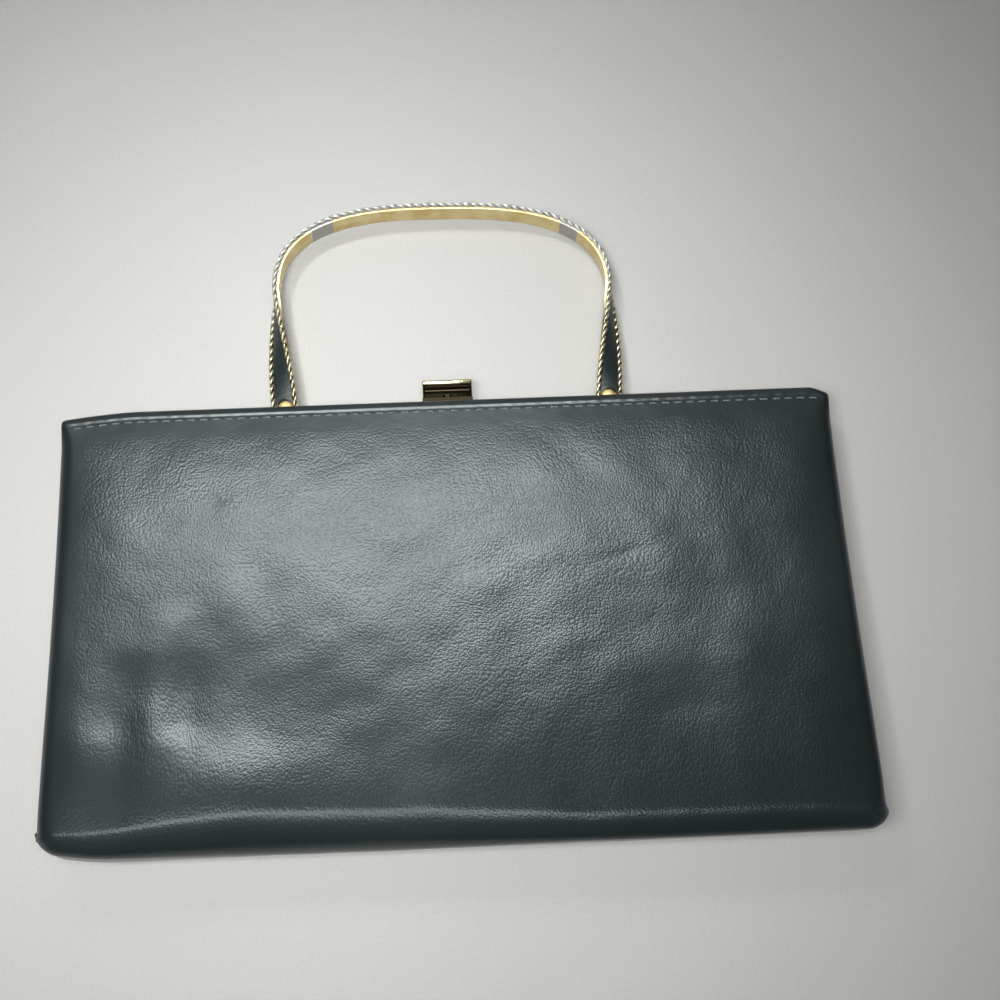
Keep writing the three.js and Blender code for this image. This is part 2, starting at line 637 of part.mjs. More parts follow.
place('body_wrap', bodyWrap(), leather(LEATHER_COLOUR));
place('gusset_right', gusset(), leather(GUSSET_COLOUR));
place('gusset_left', mirrored(gusset()), leather(GUSSET_COLOUR));
place('frame_front', frameFront(), gilt(RAIL_COLOUR));
place('frame_back', frameBack(), gilt(RAIL_COLOUR));
place('frame_pin_right', framePin(), gilt(RAIL_COLOUR));
place('frame_pin_left', mirrored(framePin()), gilt(RAIL_COLOUR));
place('handle_strap', handleStrap(), gilt(GOLD_COLOUR));
place('handle_inlay', handleInlay(), leather(INLAY_COLOUR));
place('rivet_right', rivet(), gilt(GOLD_COLOUR)).position.set(LEG_X, RIVET_HEIGHT, 0);
place('rivet_left', rivet(), gilt(GOLD_COLOUR)).position.set(-LEG_X, RIVET_HEIGHT, 0);
place('clasp_lever', claspLever(), gilt(GOLD_COLOUR));
place('clasp_pin', claspPin(), gilt(RAIL_COLOUR));

// The bag lies on its back panel, which slopes by half the taper of its depth.
const slope = Math.atan2((BASE_DEPTH - TOP_DEPTH) / 2, HEIGHT);
const lying = new THREE.Group();
bag.rotation.x = -slope;
bag.position.z = (BASE_DEPTH / 2) * Math.cos(slope);
bag.position.y = (BASE_DEPTH / 2) * Math.sin(slope);
lying.add(bag);

// The origin is under the middle of the whole bag, handle included.
lying.updateMatrixWorld(true);
const outline = new THREE.Box3().setFromObject(lying, true);
bag.position.y -= (outline.min.y + outline.max.y) / 2;
bag.position.x -= (outline.min.x + outline.max.x) / 2;

export default lying;
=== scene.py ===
# %% [markdown]
# A leather evening clutch
#
# This lesson dresses a slim frame bag that lies on its back: a slate leather body with a stitched
# lip, folded ends, a gilt frame with a lever clasp, and a stiff handle with rope edges. The packed
# model already holds every piece at its real size, so each new piece is made where its solid is.

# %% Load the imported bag
import json
import math

import bpy
import numpy as np
from mathutils import Matrix, Vector


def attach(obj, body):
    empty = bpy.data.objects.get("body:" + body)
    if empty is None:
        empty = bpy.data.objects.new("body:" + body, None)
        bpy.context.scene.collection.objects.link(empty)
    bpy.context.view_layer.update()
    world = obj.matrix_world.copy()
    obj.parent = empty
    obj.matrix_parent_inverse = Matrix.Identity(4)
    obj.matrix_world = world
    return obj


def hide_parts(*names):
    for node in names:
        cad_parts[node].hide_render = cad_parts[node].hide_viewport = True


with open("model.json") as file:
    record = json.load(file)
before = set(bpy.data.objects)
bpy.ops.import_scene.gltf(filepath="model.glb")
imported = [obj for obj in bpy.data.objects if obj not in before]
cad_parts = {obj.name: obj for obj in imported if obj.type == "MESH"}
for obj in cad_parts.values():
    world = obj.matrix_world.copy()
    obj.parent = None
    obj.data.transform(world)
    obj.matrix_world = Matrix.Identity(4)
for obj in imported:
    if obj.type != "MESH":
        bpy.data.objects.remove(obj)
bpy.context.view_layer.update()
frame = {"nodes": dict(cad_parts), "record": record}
print("packed pieces:", ", ".join(sorted(frame["nodes"])))

# %% [markdown]
# The bag's own axes
#
# A bag is easiest to think of standing up: across, up from its base, and out to its front. The face
# that it would stand on gives the place of its base and the way up, so shapes are worked out
# standing and then laid down on the back panel.

# %% Axes of the bag
mounts = {mount["name"]: mount for mount in frame["record"]["mounts"]}
BASE = np.array(mounts["base_stand"]["pos_m"], float)
UP = -np.array(mounts["base_stand"]["axis"], float)
ACROSS = np.array([1.0, 0.0, 0.0])
FRONT = np.cross(ACROSS, UP)


def laid_down(across, up, front):
    """Places in the room of points that are given across, up and to the front of the bag."""
    across, up, front = np.broadcast_arrays(across, up, front)
    return BASE + across[..., None] * ACROSS + up[..., None] * UP + front[..., None] * FRONT


BAG_TURN = Matrix(np.column_stack([ACROSS, UP, FRONT]).tolist())
print("the bag leans back by", round(math.degrees(math.asin(-UP[2])), 2), "degrees")

# %% [markdown]
# Camera
#
# The camera looks down from over the bag's base, a little turned and rolled. Its place was found by
# fitting the outlines of the body, the handle and the clasp.

# %% Place the camera
CAMERA_PLACE = Vector((-0.0032, -0.1791, 0.5336))
CAMERA_TILT = math.radians(18.96)
CAMERA_PAN = math.radians(2.06)
CAMERA_ROLL = math.radians(-2.23)
FOCAL_SHARE = 1.6
SENSOR_WIDTH = 36.0


def camera_axes():
    """The camera's right, up and backward axes, as the columns of a matrix."""
    ahead = Vector((math.sin(CAMERA_PAN), math.sin(CAMERA_TILT), -math.cos(CAMERA_TILT))).normalized()
    right = ahead.cross(Vector((0, math.cos(CAMERA_TILT), math.sin(CAMERA_TILT)))).normalized()
    up = right.cross(ahead)
    rolled_right = math.cos(CAMERA_ROLL) * right + math.sin(CAMERA_ROLL) * up
    rolled_up = math.cos(CAMERA_ROLL) * up - math.sin(CAMERA_ROLL) * right
    return Matrix((rolled_right, rolled_up, -ahead)).transposed()


bpy.ops.object.camera_add(location=CAMERA_PLACE)
camera = bpy.context.active_object
camera.data.sensor_width = SENSOR_WIDTH
camera.data.lens = FOCAL_SHARE * SENSOR_WIDTH
camera.matrix_world = Matrix.Translation(CAMERA_PLACE) @ camera_axes().to_4x4()
bpy.context.scene.camera = camera
print("lens", camera.data.lens, "mm")

# %% [markdown]
# Shader maths as Python
#
# A graph of nodes is hard to read in code. This class wraps the output of a node, so that sums and
# products are written as they are on paper, and one method adds any other node. Colours are mixed
# by a Mix node, because a Math node turns them grey.

# %% A wire in a material


class Wire:
    """A value on its way through a material; the operators add the Math nodes."""

    def __init__(self, material, socket=None):
        self.material = material
        self.socket = socket

    def node(self, kind, settings=None, sockets=None, out=0):
        """Adds any node: its settings first, then the values or wires of its sockets."""
        tree = self.material.node_tree
        made = tree.nodes.new(kind)
        for key, value in (settings or {}).items():
            setattr(made, key, value)
        for key, value in (sockets or {}).items():
            if isinstance(value, Wire):
                tree.links.new(value.socket, made.inputs[key])
            else:
                made.inputs[key].default_value = value
        return Wire(self.material, made.outputs[out])

    def math(self, operation, first, second):
        return self.node("ShaderNodeMath", {"operation": operation}, {0: first, 1: second})

    def __add__(self, other):
        return self.math("ADD", self, other)

    def __sub__(self, other):
        return self.math("SUBTRACT", self, other)

    def __rsub__(self, other):
        return self.math("SUBTRACT", other, self)

    def __mul__(self, other):
        return self.math("MULTIPLY", self, other)

    def __abs__(self):
        return self.math("ABSOLUTE", self, 0.0)

    __radd__ = __add__
    __rmul__ = __mul__

    def between(self, low, high):
        """0 below low, 1 above high, and a smooth step from one to the other."""
        sockets = {"Value": self, "From Min": low, "From Max": high}
        return self.node("ShaderNodeMapRange", {"interpolation_type": "SMOOTHSTEP"}, sockets)

    def blend(self, first, second):
        """The first colour where this value is 0, the second where it is 1."""
        return self.node("ShaderNodeMix", {"data_type": "RGBA"}, {0: self, 6: first, 7: second}, out=2)

    def kept(self, name):
        """A number that the piece keeps under this name for each of its corners."""
        return self.node("ShaderNodeAttribute", {"attribute_name": name}, out="Fac")


print("wires ready")

# %% Building a material


def new_material(name):
    """A wire to start from in an empty material."""
    material = bpy.data.materials.new(name)
    material.use_nodes = True
    material.node_tree.nodes.clear()
    return Wire(material)


def surface(start, sockets):
    """Ends a material in one Principled shader."""
    shader = start.node("ShaderNodeBsdfPrincipled", None, sockets)
    tree = start.material.node_tree
    output = tree.nodes.new("ShaderNodeOutputMaterial")
    tree.links.new(shader.socket, output.inputs["Surface"])
    return start.material


def noise(start, place, scale, detail=2.0, out="Fac", flat=False):
    """Soft random values; flat noise is quicker and reads two coordinates only."""
    settings = {"noise_dimensions": "2D" if flat else "3D"}
    sockets = {"Vector": place, "Scale": scale, "Detail": detail}
    return start.node("ShaderNodeTexNoise", settings, sockets, out)


def bump(start, height, distance, strength=1.0):
    """A Bump node: height 1 stands out by the distance, in metres."""
    sockets = {"Height": height, "Distance": distance, "Strength": strength}
    return start.node("ShaderNodeBump", None, sockets, out="Normal")


print("materials can be built")

# %% [markdown]
# Floor and light
#
# The bag lies on a pale table under soft lights that share the work. The sheen lights show only as
# gloss: the broad sheen of the front, the bright line where it turns into the base, and the lip.
# The fill lights show no gloss. They light the table and cast the shadow of the handle on it.

# %% Floor
FLOOR_SIZE = 6.0
FLOOR_DROP = 0.0002
FLOOR_PALE = (0.80, 0.80, 0.765, 1)
FLOOR_GREY = (0.76, 0.76, 0.725, 1)
FLOOR_TONES = (0.35, 0.65)
MOTTLE_SCALE = 6.0
SPECKLE_SCALE = 900.0
SPECKLE_HEIGHT = 0.00005


def floor_material():
    start = new_material("pale_table")
    place = start.node("ShaderNodeTexCoord", out="Object")
    mottle = noise(start, place, MOTTLE_SCALE, 4.0)
    speckle = noise(start, place, SPECKLE_SCALE)
    tone = (mottle * 0.5 + speckle * 0.5).between(*FLOOR_TONES)
    return surface(start, {
        "Base Color": tone.blend(FLOOR_PALE, FLOOR_GREY),
        "Roughness": speckle * 0.1 + 0.5,
        "Normal": bump(start, speckle, SPECKLE_HEIGHT, 0.3),
    })


def deselect():
    """Selects nothing, because an operator acts on all that is selected."""
    bpy.ops.object.select_all(action="DESELECT")


def named(name):
    """Names the object that an operator has just made."""
    piece = bpy.context.active_object
    piece.name = name
    piece.data.name = name
    return piece


def added(name, operator, **settings):
    """Adds an object by its operator, with nothing else selected."""
    deselect()
    operator(**settings)
    return named(name)


floor = added("table", bpy.ops.mesh.primitive_plane_add, size=FLOOR_SIZE, location=(0, 0, -FLOOR_DROP))
floor.data.materials.append(floor_material())
print("table", FLOOR_SIZE, "m wide")

# %% Lights
# Each row says where a light is, where it points, its size and its power, and a fill light's beam
SHEEN_LIGHTS = {
    "sheen_softbox": ((-0.070, 0.372, 0.70), (-0.02, 0.0, 0.02), (0.38, 0.08), 4.4),
    "ridge_softbox": ((-0.16, -0.27, 1.00), (-0.05, -0.11, 0.02), (0.70, 0.22), 4.2),
    "low_softbox": ((-0.22, -0.69, 0.85), (-0.09, -0.11, 0.02), (0.50, 0.36), 0.30),
    "lowest_softbox": ((-0.20, -0.98, 0.53), (-0.09, -0.11, 0.02), (0.50, 0.40), 0.13),
    "lip_softbox": ((-0.10, 0.95, 0.55), (0.0, 0.03, 0.03), (1.20, 0.50), 1.0),
}
FILL_LIGHTS = {
    "main_softbox": ((-0.08, -0.20, 0.66), (-0.092, 0.01, 0.0), (0.30, 0.12), 0.86, 83),
    "back_softbox": ((-0.30, 0.34, 0.85), (-0.01, 0.08, 0.0), (0.10, 0.10), 0.050, 30),
}
ROOM_GREY = (0.95, 1.0, 0.99, 1)
ROOM_STRENGTH = 0.05


def add_softbox(name, place, aim, size, power):
    light = added(name, bpy.ops.object.light_add, type="AREA", location=place)
    light.rotation_euler = (Vector(aim) - Vector(place)).to_track_quat("-Z", "Y").to_euler()
    light.data.shape = "RECTANGLE"
    light.data.size, light.data.size_y = size
    light.data.energy = power
    print(name, power, "W")
    return light


for name, row in SHEEN_LIGHTS.items():
    add_softbox(name, *row).visible_diffuse = False
for name, (*row, beam) in FILL_LIGHTS.items():
    light = add_softbox(name, *row)
    light.data.spread = math.radians(beam)
    light.visible_glossy = False
room = bpy.data.worlds.new("room")
room.use_nodes = True
background = room.node_tree.nodes["Background"]
background.inputs["Color"].default_value = ROOM_GREY
background.inputs["Strength"].default_value = ROOM_STRENGTH
bpy.context.scene.world = room
bpy.context.scene.view_settings.view_transform = "Standard"

# %% [markdown]
# Helpers for modelling
#
# Sheet pieces start as a flat grid, the blank that a maker would cut, and every corner of the grid
# knows its column and row. The blank is then moved into shape by a formula, as leather is wrapped
# round a form, and a Solidify modifier gives it its thickness.

# %% Flat blanks


def corners_of(piece):
    return np.array([vertex.co for vertex in piece.data.vertices])


def flat_blank(name, columns, rows):
    """A flat grid, with the column and the row of each of its corners."""
    grid = {"x_subdivisions": columns, "y_subdivisions": rows, "size": 2.0, "calc_uvs": False}
    piece = added(name, bpy.ops.mesh.primitive_grid_add, **grid)
    corners = corners_of(piece)
    column = np.rint((corners[:, 0] + 1) / 2 * columns).astype(int)
    row = np.rint((corners[:, 1] + 1) / 2 * rows).astype(int)
    assert len(corners) == (columns + 1) * (rows + 1)
    return piece, column, row


def move_corners(piece, places):
    piece.data.vertices.foreach_set("co", np.asarray(places, np.float32).ravel())
    piece.data.update()


def edit(piece, action):
    """Runs an action in edit mode with everything selected."""
    bpy.context.view_layer.objects.active = piece
    bpy.ops.object.mode_set(mode="EDIT")
    bpy.ops.mesh.select_all(action="SELECT")
    action()
    bpy.ops.object.mode_set(mode="OBJECT")


def close_tube():
    """Joins the long edges of a rolled blank, fills its ends and turns its faces outwards."""
    bpy.ops.mesh.remove_doubles(threshold=1e-6)
    bpy.ops.mesh.fill_holes(sides=0)
    bpy.ops.mesh.normals_make_consistent(inside=False)


def face_out(piece, outward, above=-math.inf):
    """Turns a sheet round if most of what lies above a height doesn't point outward."""
    outward = Vector(outward)
    counted = [face for face in piece.data.polygons if face.center.z > above]
    if sum(face.area * face.normal.dot(outward) for face in counted) < 0:
        edit(piece, bpy.ops.mesh.flip_normals)


print("blanks ready")

# %% Finishing a piece


def apply_modifier(piece, kind, **settings):
    bpy.context.view_layer.objects.active = piece
    modifier = piece.modifiers.new(kind.title(), kind)
    for key, value in settings.items():
        setattr(modifier, key, value)
    bpy.ops.object.modifier_apply(modifier=modifier.name)


def thicken(piece, thickness):
    """Gives a sheet its thickness, inwards from its outer face."""
    apply_modifier(piece, "SOLIDIFY", thickness=thickness, offset=-1.0)


def smooth(piece, angle=60):
    deselect()
    piece.select_set(True)
    bpy.context.view_layer.objects.active = piece
    bpy.ops.object.shade_smooth_by_angle(angle=math.radians(angle))


def skin_map(piece, along, beside):
    """Keeps the flat place of each corner, in metres, so that the grain follows the folds."""
    corners = np.zeros(len(piece.data.loops), int)
    piece.data.loops.foreach_get("vertex_index", corners)
    layer = piece.data.uv_layers.new(name="skin")
    flat = np.column_stack([along[corners], beside[corners]])
    layer.data.foreach_set("uv", flat.astype(np.float32).ravel())


def lay_down(piece):
    """Lays a piece that was made in the bag's own axes down on the table."""
    piece.data.transform(Matrix.Translation(BASE) @ BAG_TURN.to_4x4())


def mark(piece, name, values):
    """Keeps a number for each corner of a piece, for its material to read."""
    layer = piece.data.attributes.new(name, "FLOAT", "POINT")
    layer.data.foreach_set("value", np.asarray(values, np.float32))


def copies(name, pattern, turns, places):
    """One mesh of many copies of a small modelled piece, each turned and placed."""
    corners = corners_of(pattern)
    faces = [list(face.vertices) for face in pattern.data.polygons]
    marked = [layer for layer in pattern.data.attributes if layer.data_type == "FLOAT"]
    marks = {layer.name: [point.value for point in layer.data] for layer in marked}
    moved = np.einsum("nij,vj->nvi", turns, corners) + places[:, None, :]
    mesh = bpy.data.meshes.new(name)
    starts = range(0, len(places) * len(corners), len(corners))
    shifted = [[corner + start for corner in face] for start in starts for face in faces]
    mesh.from_pydata(moved.reshape(-1, 3), [], shifted)
    piece = bpy.data.objects.new(name, mesh)
    bpy.context.collection.objects.link(piece)
    for key, values in marks.items():
        mark(piece, key, np.tile(values, len(places)))
    bpy.data.objects.remove(pattern)
    return piece


def joined(name, pieces):
    """Joins finished parts into one piece."""
    deselect()
    for piece in pieces:
        piece.select_set(True)
    bpy.context.view_layer.objects.active = pieces[0]
    bpy.ops.object.join()
    return named(name)


def dress(piece, body, slot, material, *nodes):
    """Gives a finished piece its material, the body it moves with and the solids it stands for."""
    piece.data.materials.clear()
    piece.data.materials.append(material)
    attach(piece, body)
    if nodes:
        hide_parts(*nodes)
    print(piece.name, len(piece.data.polygons), "faces")


print("finishing ready")

# %% Soft steps


def eased(value, low, high):
    """A smooth step from 0 at low to 1 at high."""
    share = np.clip((value - low) / (high - low), 0, 1)
    return share * share * (3 - 2 * share)


def bell(value, middle, reach):
    """1 at the middle, falling away softly on both sides."""
    return np.exp(-(((value - middle) / reach) ** 2))


print("soft steps ready")

# %% [markdown]
# The shape of the leather body
#
# The body is one strip of leather that runs from the front lip down the front, round the base and
# up the back. Its section is drawn once, row by row, and carried across the bag, where both ends
# roll in. The panels close in towards the top, the sides and corners give a little, and the front of
# the base hangs low and turns tighter at the right and at the left end, as on a used bag.

# %% Sizes of the body
WIDTH = 0.266
HEIGHT = 0.151
BASE_DEPTH = 0.034
TOP_DEPTH = 0.021
WALL = 0.0016
FRONT_ROLL = {"high": 0.0114, "deep": 0.0130}
BACK_ROLL = {"high": 0.009, "deep": 0.0150}
ROLL_TIGHTER = 0.40
TIGHTER_END = {"share": 0.45, "from": 0.050, "to": 0.132}
TIGHTER_FROM = (-0.030, 0.050)
BASE_SAG = {"left": 0.0024, "right": 0.0042}
SAG_FROM = (-0.10, 0.10)
SAG_REACH = 0.030
SAG_FRONT = (-0.010, 0.012)
BASE_FLARE = 0.0011
BASE_FLARE_REACH = 0.014
SIDE_PULL = 0.0008
EDGE_ROLL = 0.0045
EDGE_ROLL_AT_BASE = 0.008
EDGE_ROLL_AT_TOP = 0.002
EDGE_TURN = math.radians(75)
LIP_RADIUS = 0.0023
LIP_RETURN = 0.0035
STITCH_HEIGHT = HEIGHT - 0.0049
TOP_CORNER_DEPTH = 0.030
LEFT_CORNER = {"reach": 0.026, "drop": 0.0024, "power": 1.5}
RIGHT_CORNER = {"reach": 0.007, "drop": 0.0022}
WORN_CORNER = {"reach": 0.026, "lift": 0.0030, "height": 0.020, "power": 2}


def half_depth(up):
    return BASE_DEPTH / 2 + (TOP_DEPTH - BASE_DEPTH) / 2 * up / HEIGHT


def half_width(up):
    flare = BASE_FLARE * (1 - eased(up, 0, BASE_FLARE_REACH))
    return WIDTH / 2 + flare - SIDE_PULL * np.sin(np.pi * np.clip(up / HEIGHT, 0, 1))


def corner_shift(across, up):
    """How far the top corners drop, and the worn base corner lifts."""
    end = np.abs(across) - WIDTH / 2
    left = LEFT_CORNER["drop"] * np.clip(1 + end / LEFT_CORNER["reach"], 0, None) ** LEFT_CORNER["power"]
    right = RIGHT_CORNER["drop"] * eased(end, -RIGHT_CORNER["reach"], 0)
    drop = np.where(across < 0, left, right) * eased(up, HEIGHT - TOP_CORNER_DEPTH, HEIGHT)
    worn = WORN_CORNER["lift"] * np.clip(1 + end / WORN_CORNER["reach"], 0, None) ** WORN_CORNER["power"]
    lift = worn * (1 - eased(up, 0, WORN_CORNER["height"])) * (across < 0)
    return lift - drop


def tighter(across):
    """How much tighter the front turns into the base on the right, and at the left end."""
    left_end = TIGHTER_END["share"] * eased(-across, TIGHTER_END["from"], TIGHTER_END["to"])
    return ROLL_TIGHTER * eased(across, *TIGHTER_FROM) + left_end


def base_shift(across, up, front):
    """How far the front's turn into the base lies lower, where it is tighter and where it sags."""
    on_front = eased(front, *SAG_FRONT)
    squeeze = tighter(across) * up * (1 - eased(up, FRONT_ROLL["high"], 3 * FRONT_ROLL["high"]))
    sag = BASE_SAG["left"] + (BASE_SAG["right"] - BASE_SAG["left"]) * eased(across, *SAG_FROM)
    sag = sag * (1 - eased(up, 0, SAG_REACH))
    return -on_front * (squeeze + sag)


print("body", WIDTH, "x", HEIGHT, "m")

# %% [markdown]
# Folds of the front
#
# The front panel is glued down along its edges and a little loose between them, so it swells like
# a thin pillow, and use has pressed hollows and ripples into it. Each one is a row in a table, so
# it can be compared with the real bag by itself.

# %% Relief of the front panel
SWELL = 0.0022
SWELL_FROM_SIDE = 0.009
SWELL_FROM_TOP = 0.020
SWELL_POWER = 1.3
SWELL_FROM_BASE = 0.010
SWELL_TOP = HEIGHT - 0.0024
SWELL_BASE = 0.004
# Each fold has its place across and up, its length and width, its turn in degrees and its height
FOLDS = (
    (-0.068, 0.039, 0.046, 0.0175, -24, -0.00150),
    (-0.125, 0.034, 0.012, 0.0080, 80, 0.00050),
    (-0.110, 0.038, 0.015, 0.0070, 80, -0.00060),
    (-0.097, 0.045, 0.017, 0.0060, 87, 0.00060),
    (-0.088, 0.041, 0.013, 0.0050, 82, -0.00050),
    (-0.074, 0.017, 0.018, 0.0100, 8, 0.00130),
    (-0.104, 0.064, 0.010, 0.0060, 20, 0.00040),
    (-0.062, 0.079, 0.014, 0.0050, -70, -0.00030),
    (-0.112, 0.018, 0.014, 0.0050, 0, -0.00040),
    (0.070, 0.039, 0.013, 0.0080, -30, -0.00070),
    (0.056, 0.047, 0.011, 0.0080, -30, 0.00040),
    (0.089, 0.049, 0.013, 0.0090, 60, 0.00040),
    (0.056, 0.090, 0.007, 0.0014, 12, -0.00015),
)
WAVE_SEED = 7
WAVE_COUNT = 28
WAVE_HEIGHT = 0.00003
WAVE_LENGTHS = (0.009, 0.040)


def front_folds(across, up):
    """The height of all the folds in the table at points of the front panel."""
    height = np.zeros_like(across)
    for fold_across, fold_up, long, wide, degrees, fold_height in FOLDS:
        turn = math.radians(degrees)
        dx = across - fold_across
        dy = up - fold_up
        along = (dx * math.cos(turn) + dy * math.sin(turn)) / long
        beside = (dy * math.cos(turn) - dx * math.sin(turn)) / wide
        height += fold_height * np.exp(-(along**2 + beside**2) / 2)
    return height


def soft_waves(across, up):
    """A faint unevenness: plain waves that run every way, the same on each run."""
    draw = np.random.default_rng(WAVE_SEED)
    height = np.zeros_like(across)
    for _ in range(WAVE_COUNT):
        length = draw.uniform(*WAVE_LENGTHS)
        heading = draw.uniform(0, np.pi)
        start = draw.uniform(0, 2 * np.pi)
        run = across * math.cos(heading) + up * math.sin(heading)
        height += np.sin(2 * np.pi * run / length + start) * length / WAVE_LENGTHS[1]
    return WAVE_HEIGHT * height


def rising(distance, reach, power=1.0):
    """0 at an edge of the panel, rising towards 1 inside it."""
    return 1 - np.exp(-((np.clip(distance, 0, None) / reach) ** power))


def front_relief(across, up):
    """How far the front panel stands out from its flat plane."""
    from_side = rising(half_width(up) - np.abs(across), SWELL_FROM_SIDE)
    from_top = rising(SWELL_TOP - up, SWELL_FROM_TOP, SWELL_POWER)
    inside = from_side * from_top * rising(up - SWELL_BASE, SWELL_FROM_BASE)
    return inside * (SWELL + front_folds(across, up) + soft_waves(across, up))


print(len(FOLDS), "folds in the front")

# %% [markdown]
# Wrapping the leather
#
# Each half of the section starts at the inner end of the lip, goes over its round top, down past a
# low ridge and a crease to the panel, and round the base. Rows are close together where the leather
# turns and further apart on the flat back. The blank's corners are then sent to their places, and
# the wall is given its thickness on the inside.

# %% The body's section
# The ridge under the lip and the crease above the stitches: height, place and reach
LIP_RIDGE = (0.00004, HEIGHT - 0.0030, 0.0009)
LIP_CREASE = (-0.00007, HEIGHT - 0.0038, 0.0006)
LIP_PUCKER = 0.00004
SLOW_PUCKER = {"share": 0.7, "pace": 3.7}
STITCH_PITCH = 0.0043
STRIP_END = HEIGHT - 0.0085
LIP_CURL = 0.25
FRONT_STEPS = {"lip": 10, "strip": 22, "face": 98, "roll": 18, "base": 5}
BACK_STEPS = {"lip": 8, "strip": 12, "face": 22, "roll": 7, "base": 3}


def lip_offset(up):
    """How far the ridge and the crease stand out or in at a height."""
    return sum(height * bell(up, *place) for height, *place in (LIP_RIDGE, LIP_CREASE))


def half_section(roll, steps):
    """Rows from the lip's inner end to the middle of the base. Each gives up and out, the way that
    the ends roll in there, again as up and out, then whether the row is on the panel, how far its
    ends curl, and how far it is into the base."""
    rows = []
    lip_middle = TOP_DEPTH / 2 - LIP_RADIUS
    lip_foot = HEIGHT - LIP_RADIUS
    for share in (1.0, 0.5):
        rows.append((lip_foot - LIP_RETURN * share, lip_middle - LIP_RADIUS, 0, -1, 0, LIP_CURL, 0))
    for angle in np.linspace(np.pi, 0, steps["lip"] + 1):
        curl = LIP_CURL + (1 - LIP_CURL) * (1 + math.cos(angle)) / 2
        up = lip_foot + LIP_RADIUS * math.sin(angle)
        rows.append((up, lip_middle + LIP_RADIUS * math.cos(angle), 0, -1, 0, curl, 0))
    for up in np.linspace(lip_foot, STRIP_END, steps["strip"] + 1)[1:]:
        rows.append((up, half_depth(up) + lip_offset(up), 0, -1, 1, 1, 0))
    high, deep = roll["high"], roll["deep"]
    for up in np.linspace(STRIP_END, high, steps["face"] + 1)[1:]:
        rows.append((up, half_depth(up), 0, -1, 1, 1, 0))
    roll_middle = half_depth(high) - deep
    for angle in np.linspace(0, np.pi / 2, steps["roll"] + 1)[1:]:
        sine, cosine = math.sin(angle), math.cos(angle)
        across_up, across_out = sine / high, cosine / deep
        length = math.hypot(across_up, across_out)
        way = (across_up / length, -across_out / length)
        place = (high - high * sine, roll_middle + deep * cosine)
        rows.append((*place, *way, 1 - sine, 1, deep * (1 - cosine)))
    for share in np.linspace(1, 0, steps["base"] + 1)[1:]:
        rows.append((0.0, roll_middle * share, 1, 0, 0, 1, deep * share))
    return np.array(rows)


FRONT_ROWS = half_section(FRONT_ROLL, FRONT_STEPS)
BACK_ROWS = half_section(BACK_ROLL, BACK_STEPS)
SECTION = np.concatenate([FRONT_ROWS, BACK_ROWS[-2::-1]])
FRONT_SIDE = np.concatenate([np.ones(len(FRONT_ROWS)), -np.ones(len(BACK_ROWS) - 1)])
print(len(SECTION), "rows round the body")

# %% The leather body
FLAT_COLUMNS = 106
ROLL_COLUMNS = 7
TOP_ROLL_REACH = 0.012


def across_stations():
    """From one end of the bag to the other: side, share of the flat half, turn of the rolled end."""
    share = np.concatenate([np.linspace(0, 1, FLAT_COLUMNS + 1), np.ones(ROLL_COLUMNS)])
    rolled = EDGE_TURN * np.arange(1, ROLL_COLUMNS + 1) / ROLL_COLUMNS
    turn = np.concatenate([np.zeros(FLAT_COLUMNS + 1), rolled])
    side = np.concatenate([-np.ones(len(share) - 1), np.ones(len(share))])
    return side, np.concatenate([share[:0:-1], share]), np.concatenate([turn[:0:-1], turn])


def wrapped(column, row):
    """The body's corners in the bag's own axes."""
    side, share, turn = (station[column] for station in across_stations())
    up, out, roll_up, roll_out, panel, curl, into_base = SECTION[row].T
    front = FRONT_SIDE[row]
    turn = turn * curl
    radius = EDGE_ROLL_AT_BASE + (EDGE_ROLL - EDGE_ROLL_AT_BASE) * eased(up, 0, 2 * FRONT_ROLL["high"])
    radius = radius + (EDGE_ROLL_AT_TOP - EDGE_ROLL) * eased(up, HEIGHT - TOP_ROLL_REACH, HEIGHT)
    across = side * (share * (half_width(up) - radius) + radius * np.sin(turn))
    rolled = radius * (1 - np.cos(turn))
    relief = front_relief(across, up) * panel * (front > 0) * np.cos(turn)
    slow = SLOW_PUCKER["share"] * np.cos(SLOW_PUCKER["pace"] * across / STITCH_PITCH)
    pucker = LIP_PUCKER * (np.cos(2 * np.pi * across / STITCH_PITCH) + slow)
    pucker *= bell(up, *LIP_RIDGE[1:]) * panel * np.cos(turn)
    shift = corner_shift(across, up) + base_shift(across, up, front * out)
    out = out + (front > 0) * tighter(across) * into_base
    return across, up + roll_up * rolled + shift, front * (out + relief + pucker + roll_out * rolled)


columns = 2 * (FLAT_COLUMNS + ROLL_COLUMNS)
leather_body, column, row = flat_blank("leather_body", columns, len(SECTION) - 1)
body_across, body_up, body_front = wrapped(column, row)
move_corners(leather_body, laid_down(body_across, body_up, body_front))
section_steps = np.hypot(np.diff(SECTION[:, 0]), np.diff(SECTION[:, 1] * FRONT_SIDE))
section_run = np.concatenate([[0.0], np.cumsum(section_steps)])
skin_map(leather_body, body_across, section_run[row])
print("front of the body reaches", round(float(body_front.max()) * 1000, 2), "mm")
